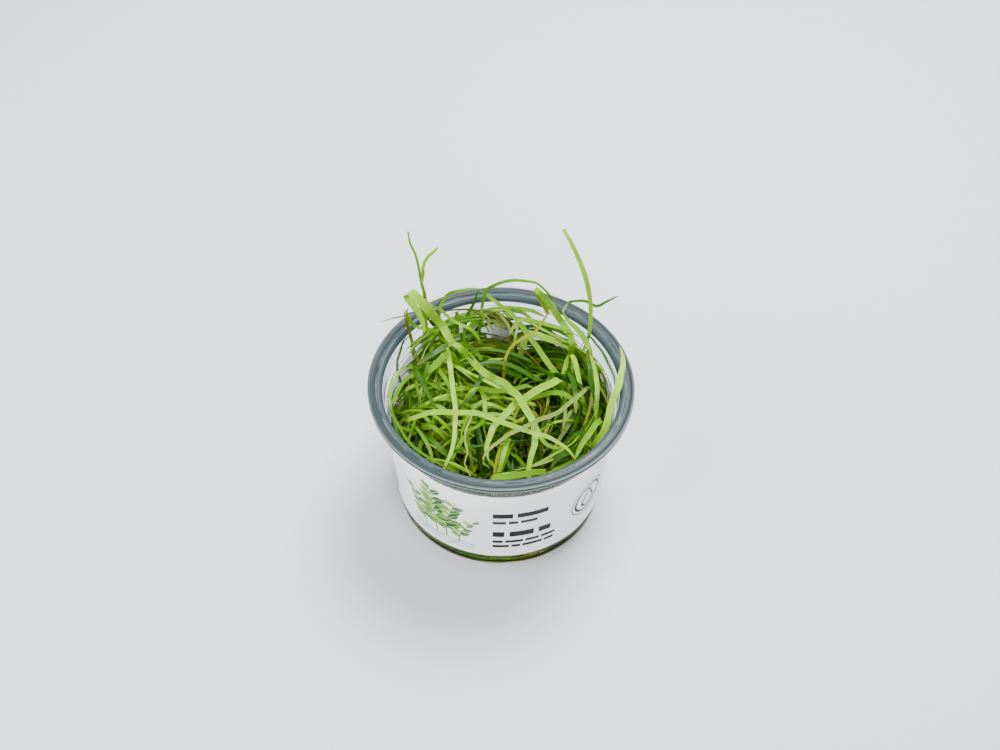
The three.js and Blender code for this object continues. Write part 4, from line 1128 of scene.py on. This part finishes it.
class RUSH_OT_stage(bpy.types.Operator):
    """Makes the floor, the lights and the camera"""
    bl_idname = "rush.stage"
    bl_label = "Stage"

    def execute(self, context):
        settings = context.scene.rush_stage
        cove = [(COVE_FLOOR + (COVE_RADIUS - COVE_FLOOR) * math.sin(t), COVE_HEIGHT * (1 - math.cos(t)))
                for t in (math.pi / 2 * k / 16 for k in range(17))]
        mesh = turned("floor", [(0, 0), (COVE_FLOOR / 2, 0), *cove], 96)
        # Matt painted sweep, with a grain of 17 mm too faint to see as a pattern
        mesh.materials.append(mottled("matt_studio_sweep",
                                      [(0.0, [c * FLOOR_GRAIN for c in settings.floor] + [1.0]),
                                       (1.0, [*settings.floor, 1.0])],
                                      {"Scale": 60.0}, {"Roughness": 0.75}))
        floor = bpy.data.objects.new("floor", mesh)
        context.scene.collection.objects.link(floor)
        floor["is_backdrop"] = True

        camera = bpy.data.cameras.new("camera")
        camera.sensor_width = 36
        camera.lens = CAMERA_LENS
        camera.clip_start = 0.05
        camera.clip_end = 20
        seen = bpy.data.objects.new("camera", camera)
        seen.matrix_world = (Matrix.Translation(CAMERA_PLACE)
                             @ Matrix.Rotation(math.radians(90 - CAMERA_DOWN), 4, "X")
                             @ Matrix.Rotation(math.radians(CAMERA_ROLL), 4, "Z"))
        context.scene.collection.objects.link(seen)
        context.scene.camera = seen

        world = bpy.data.worlds.new("studio")
        world.use_nodes = True
        feed(world.node_tree.nodes["Background"], {"Color": linear("#f2f2f0"), "Strength": 0.18})
        context.scene.world = world
        lights = (("key_over_back", "AREA", settings.key, 0.45, (0.18, 0.32, 0.75)),
                  ("fill_left", "AREA", settings.key * FILL_SHARE, 0.7, (-0.65, -0.25, 0.6)),
                  ("front", "SUN", settings.key * SUN_SHARE, math.radians(50), (0.2, -0.75, 0.6)))
        for name, kind, power, size, place in lights:
            light = bpy.data.lights.new(name, kind)
            if kind == "SUN":
                light.angle = size
            else:
                light.shape = "DISK"
                light.size = size
            light.energy = power
            lamp = bpy.data.objects.new(name, light)
            turn = (AIM - Vector(place)).to_track_quat("-Z", "Y")
            lamp.matrix_world = Matrix.Translation(place) @ turn.to_matrix().to_4x4()
            context.scene.collection.objects.link(lamp)
        return {"FINISHED"}


class RUSH_OT_tub(bpy.types.Operator):
    """Turns the clear tub with its flange, moulded rings and foot"""
    bl_idname = "rush.tub"
    bl_label = "Tub"

    def execute(self, context):
        settings = context.scene.rush_tub
        mesh = turned("clear_tub", tub_section(), settings.facets)
        wall, flange, skirt, foot, stain = range(5)
        for material in (
                polypropylene("clear_thermoformed_polypropylene", settings.wall_colour,
                              settings.wall_clarity, roughness=0.04),
                polypropylene("hazy_polypropylene_flange", settings.flange_colour,
                              settings.flange_clarity, roughness=0.27, painted_bands=True),
                polypropylene("edge_lit_polypropylene", linear(SKIRT_TINT)[:3], 0.9, roughness=0.06),
                polypropylene("wet_polypropylene_foot", linear(FOOT_TINT)[:3], 1.0, roughness=0.02,
                              ior=1.1),
                growth_behind_foot()):
            mesh.materials.append(material)
        for face in mesh.polygons:
            radius = face.center.xy.length / MM
            height = face.center.z / MM
            if height < STAIN_TOP and radius >= inner_radius(height) + 0.3:
                face.material_index = stain
            elif height < FOOT_TOP:
                face.material_index = foot
            elif radius > SKIRT_RADIUS and EDGE_TOP < height < TUB_HEIGHT - SKIRT_ROUNDING:
                face.material_index = skirt
            else:
                face.material_index = flange if height > FLANGE_BOTTOM else wall
        placed("clear_tub", mesh, "clear_tub", "tub")
        return {"FINISHED"}


class RUSH_OT_label(bpy.types.Operator):
    """Makes the label sleeve, its seam and its print"""
    bl_idname = "rush.label"
    bl_label = "Label"

    def execute(self, context):
        paper = label_film(context.scene.rush_label.colour)
        low = outer_radius(LABEL_BOTTOM) + LABEL_GAP
        high = outer_radius(LABEL_TOP) + LABEL_GAP
        section = [(low, LABEL_BOTTOM), (low + LABEL_THICKNESS, LABEL_BOTTOM),
                   (high + LABEL_THICKNESS, LABEL_TOP), (high, LABEL_TOP)]
        mesh = turned("label_sleeve", section, context.scene.rush_tub.facets, closed=True)
        mesh.set_sharp_from_angle(angle=math.radians(40))
        placed("label_sleeve", mesh, "label_film", "label", material=paper)

        work = bmesh.new()
        lay_seam(work)
        placed("label_seam", mesh_from(work, "label_seam", rounded=False), "label_film", material=paper)

        work = bmesh.new()
        draw_label(work, work.loops.layers.float_color.new("print"))
        placed("label_print", mesh_from(work, "label_print", rounded=False), "label_film",
               material=label_ink())
        return {"FINISHED"}


class RUSH_OT_roots(bpy.types.Operator):
    """Lays the roots and old growth on the tub's floor, behind the clear band"""
    bl_idname = "rush.roots"
    bl_label = "Roots"

    def execute(self, context):
        chance = np.random.default_rng(context.scene.rush_thicket.seed + ROOT_SEED)
        tree = blade_tree()
        strands = [root_strand(chance) for _ in range(STRANDS)]
        mesh = swept("root_strands", strands, tree, leaf_tissue("root_fibre", *ROOT_FIBRE), steps=2,
                     around=6, thickness=0.8, channel=0.0)
        placed("root_strands", mesh, "roots", "root_mat")
        for slot in sorted({row[0] for row in FLOOR_LEAVES}):
            fallen = [floor_leaf(row, chance.random()) for row in FLOOR_LEAVES if row[0] == slot]
            tissue = leaf_tissue(slot + "_on_floor", *TISSUES[slot])
            mesh = swept("floor_" + slot, fallen, tree, tissue, steps=3, around=10, thickness=0.12,
                         channel=0.1)
            placed("floor_" + slot, mesh, slot, "root_mat")
        flat = np.full((int(2 * GRID_REACH / GRID_STEP) + 2,) * 2, BED_TOP)
        bed = core_mesh("root_bed", flat, BED_BOTTOM, 0.0, rings=8)
        placed("root_bed", bed, "roots", "root_mat", material=shaded_packed_stems())
        return {"FINISHED"}


class RUSH_OT_single_leaves(bpy.types.Operator):
    """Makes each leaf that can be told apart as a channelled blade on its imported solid's line"""
    bl_idname = "rush.single_leaves"
    bl_label = "Single leaves"

    def execute(self, context):
        settings = context.scene.rush_leaves
        chance = np.random.default_rng(SHADE_SEED)
        tree = blade_tree()
        slots = {part["node"]: part["material_slot"] for part in frame["record"]["subparts"]}
        tissues = {slot: leaf_tissue(slot, *colours, pale=slot in ("pale_leaf", "white_leaf"))
                   for slot, colours in TISSUES.items()}
        for name in sorted(set(frame["nodes"]) - PLAIN_NODES):
            shade = chance.random()
            blade = blade_of(frame["nodes"][name], SHADED_LEAVES.get(name, shade))
            tipped(blade, BLUNT_TIPS.get(name, TIP_SHARE))
            if name in BRANCH_BASES:
                blade["points"][0] = Vector(BRANCH_BASES[name])
            if name in TALL_LEAVES:
                broadened(blade, *TALL_LEAVES[name])
            if name not in BRANCH_BASES:
                rooted(blade, settings.base_depth / MM)
            mesh = swept(name + "_blade", [blade], tree, tissues[slots[name]], steps=5, around=12,
                         thickness=settings.thickness, channel=settings.channel)
            placed(name + "_blade", mesh, slots[name], name)
        return {"FINISHED"}


class RUSH_OT_thicket(bpy.types.Operator):
    """Lays the thicket of leaves under the single ones, zone by zone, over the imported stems"""
    bl_idname = "rush.thicket"
    bl_label = "Thicket"

    def execute(self, context):
        settings = context.scene.rush_thicket
        leaf = context.scene.rush_leaves
        chance = np.random.default_rng(settings.seed)
        pile = mat_heights(frame["nodes"]["leaf_mat"]) - settings.depth / MM
        bed = core_mesh("stem_bed", pile, STEMS_BOTTOM, STEMS_SINK)
        placed("stem_bed", bed, "leaf_mat", "leaf_mat", material=shaded_packed_stems())
        laid = {}
        for zone in ZONES.values():
            tones, weights = zip(*zone.tones.items())
            for _ in range(zone.count):
                tone = tones[chance.choice(len(tones), p=np.array(weights) / sum(weights))] + "_leaf"
                laid.setdefault(tone, []).append(lay_leaf(zone, chance, pile))
        tree = blade_tree()
        for tone, blades in sorted(laid.items()):
            tissue = leaf_tissue(tone + "_in_mat", *TISSUES[tone], shaded_low=True)
            mesh = swept("thicket_" + tone, blades, tree, tissue, steps=2, around=8,
                         thickness=leaf.thickness, channel=leaf.channel)
            pressed_inside(mesh)
            placed("thicket_" + tone, mesh, tone, "leaf_mat")
        return {"FINISHED"}


class RUSH_PT_panel(bpy.types.Panel):
    bl_idname = "RUSH_PT_panel"
    bl_label = "Potted creeping rush"
    bl_space_type = "VIEW_3D"
    bl_region_type = "UI"
    bl_category = "Rush"

    def draw(self, context):
        for key, group in SETTINGS.items():
            box = self.layout.box()
            for name in group.__annotations__:
                box.prop(getattr(context.scene, key), name)
        for operator in OPERATORS:
            self.layout.operator(operator.bl_idname)


OPERATORS = (RUSH_OT_stage, RUSH_OT_tub, RUSH_OT_label, RUSH_OT_roots, RUSH_OT_single_leaves,
             RUSH_OT_thicket)


def register():
    for made in (*SETTINGS.values(), *OPERATORS, RUSH_PT_panel):
        bpy.utils.register_class(made)
    for key, group in SETTINGS.items():
        setattr(bpy.types.Scene, key, PointerProperty(type=group))


def unregister():
    for key in SETTINGS:
        delattr(bpy.types.Scene, key)
    for made in reversed((*SETTINGS.values(), *OPERATORS, RUSH_PT_panel)):
        bpy.utils.unregister_class(made)


def main():
    register()
    bpy.ops.rush.stage()
    bpy.ops.rush.tub()
    bpy.ops.rush.label()
    bpy.ops.rush.roots()
    bpy.ops.rush.single_leaves()
    bpy.ops.rush.thicket()
    boxes = {"cad": CAD_BOX, "visual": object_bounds()}
    {key: [list(corner) for corner in box] for key, box in boxes.items()}


if __name__ == "__main__":
    main()
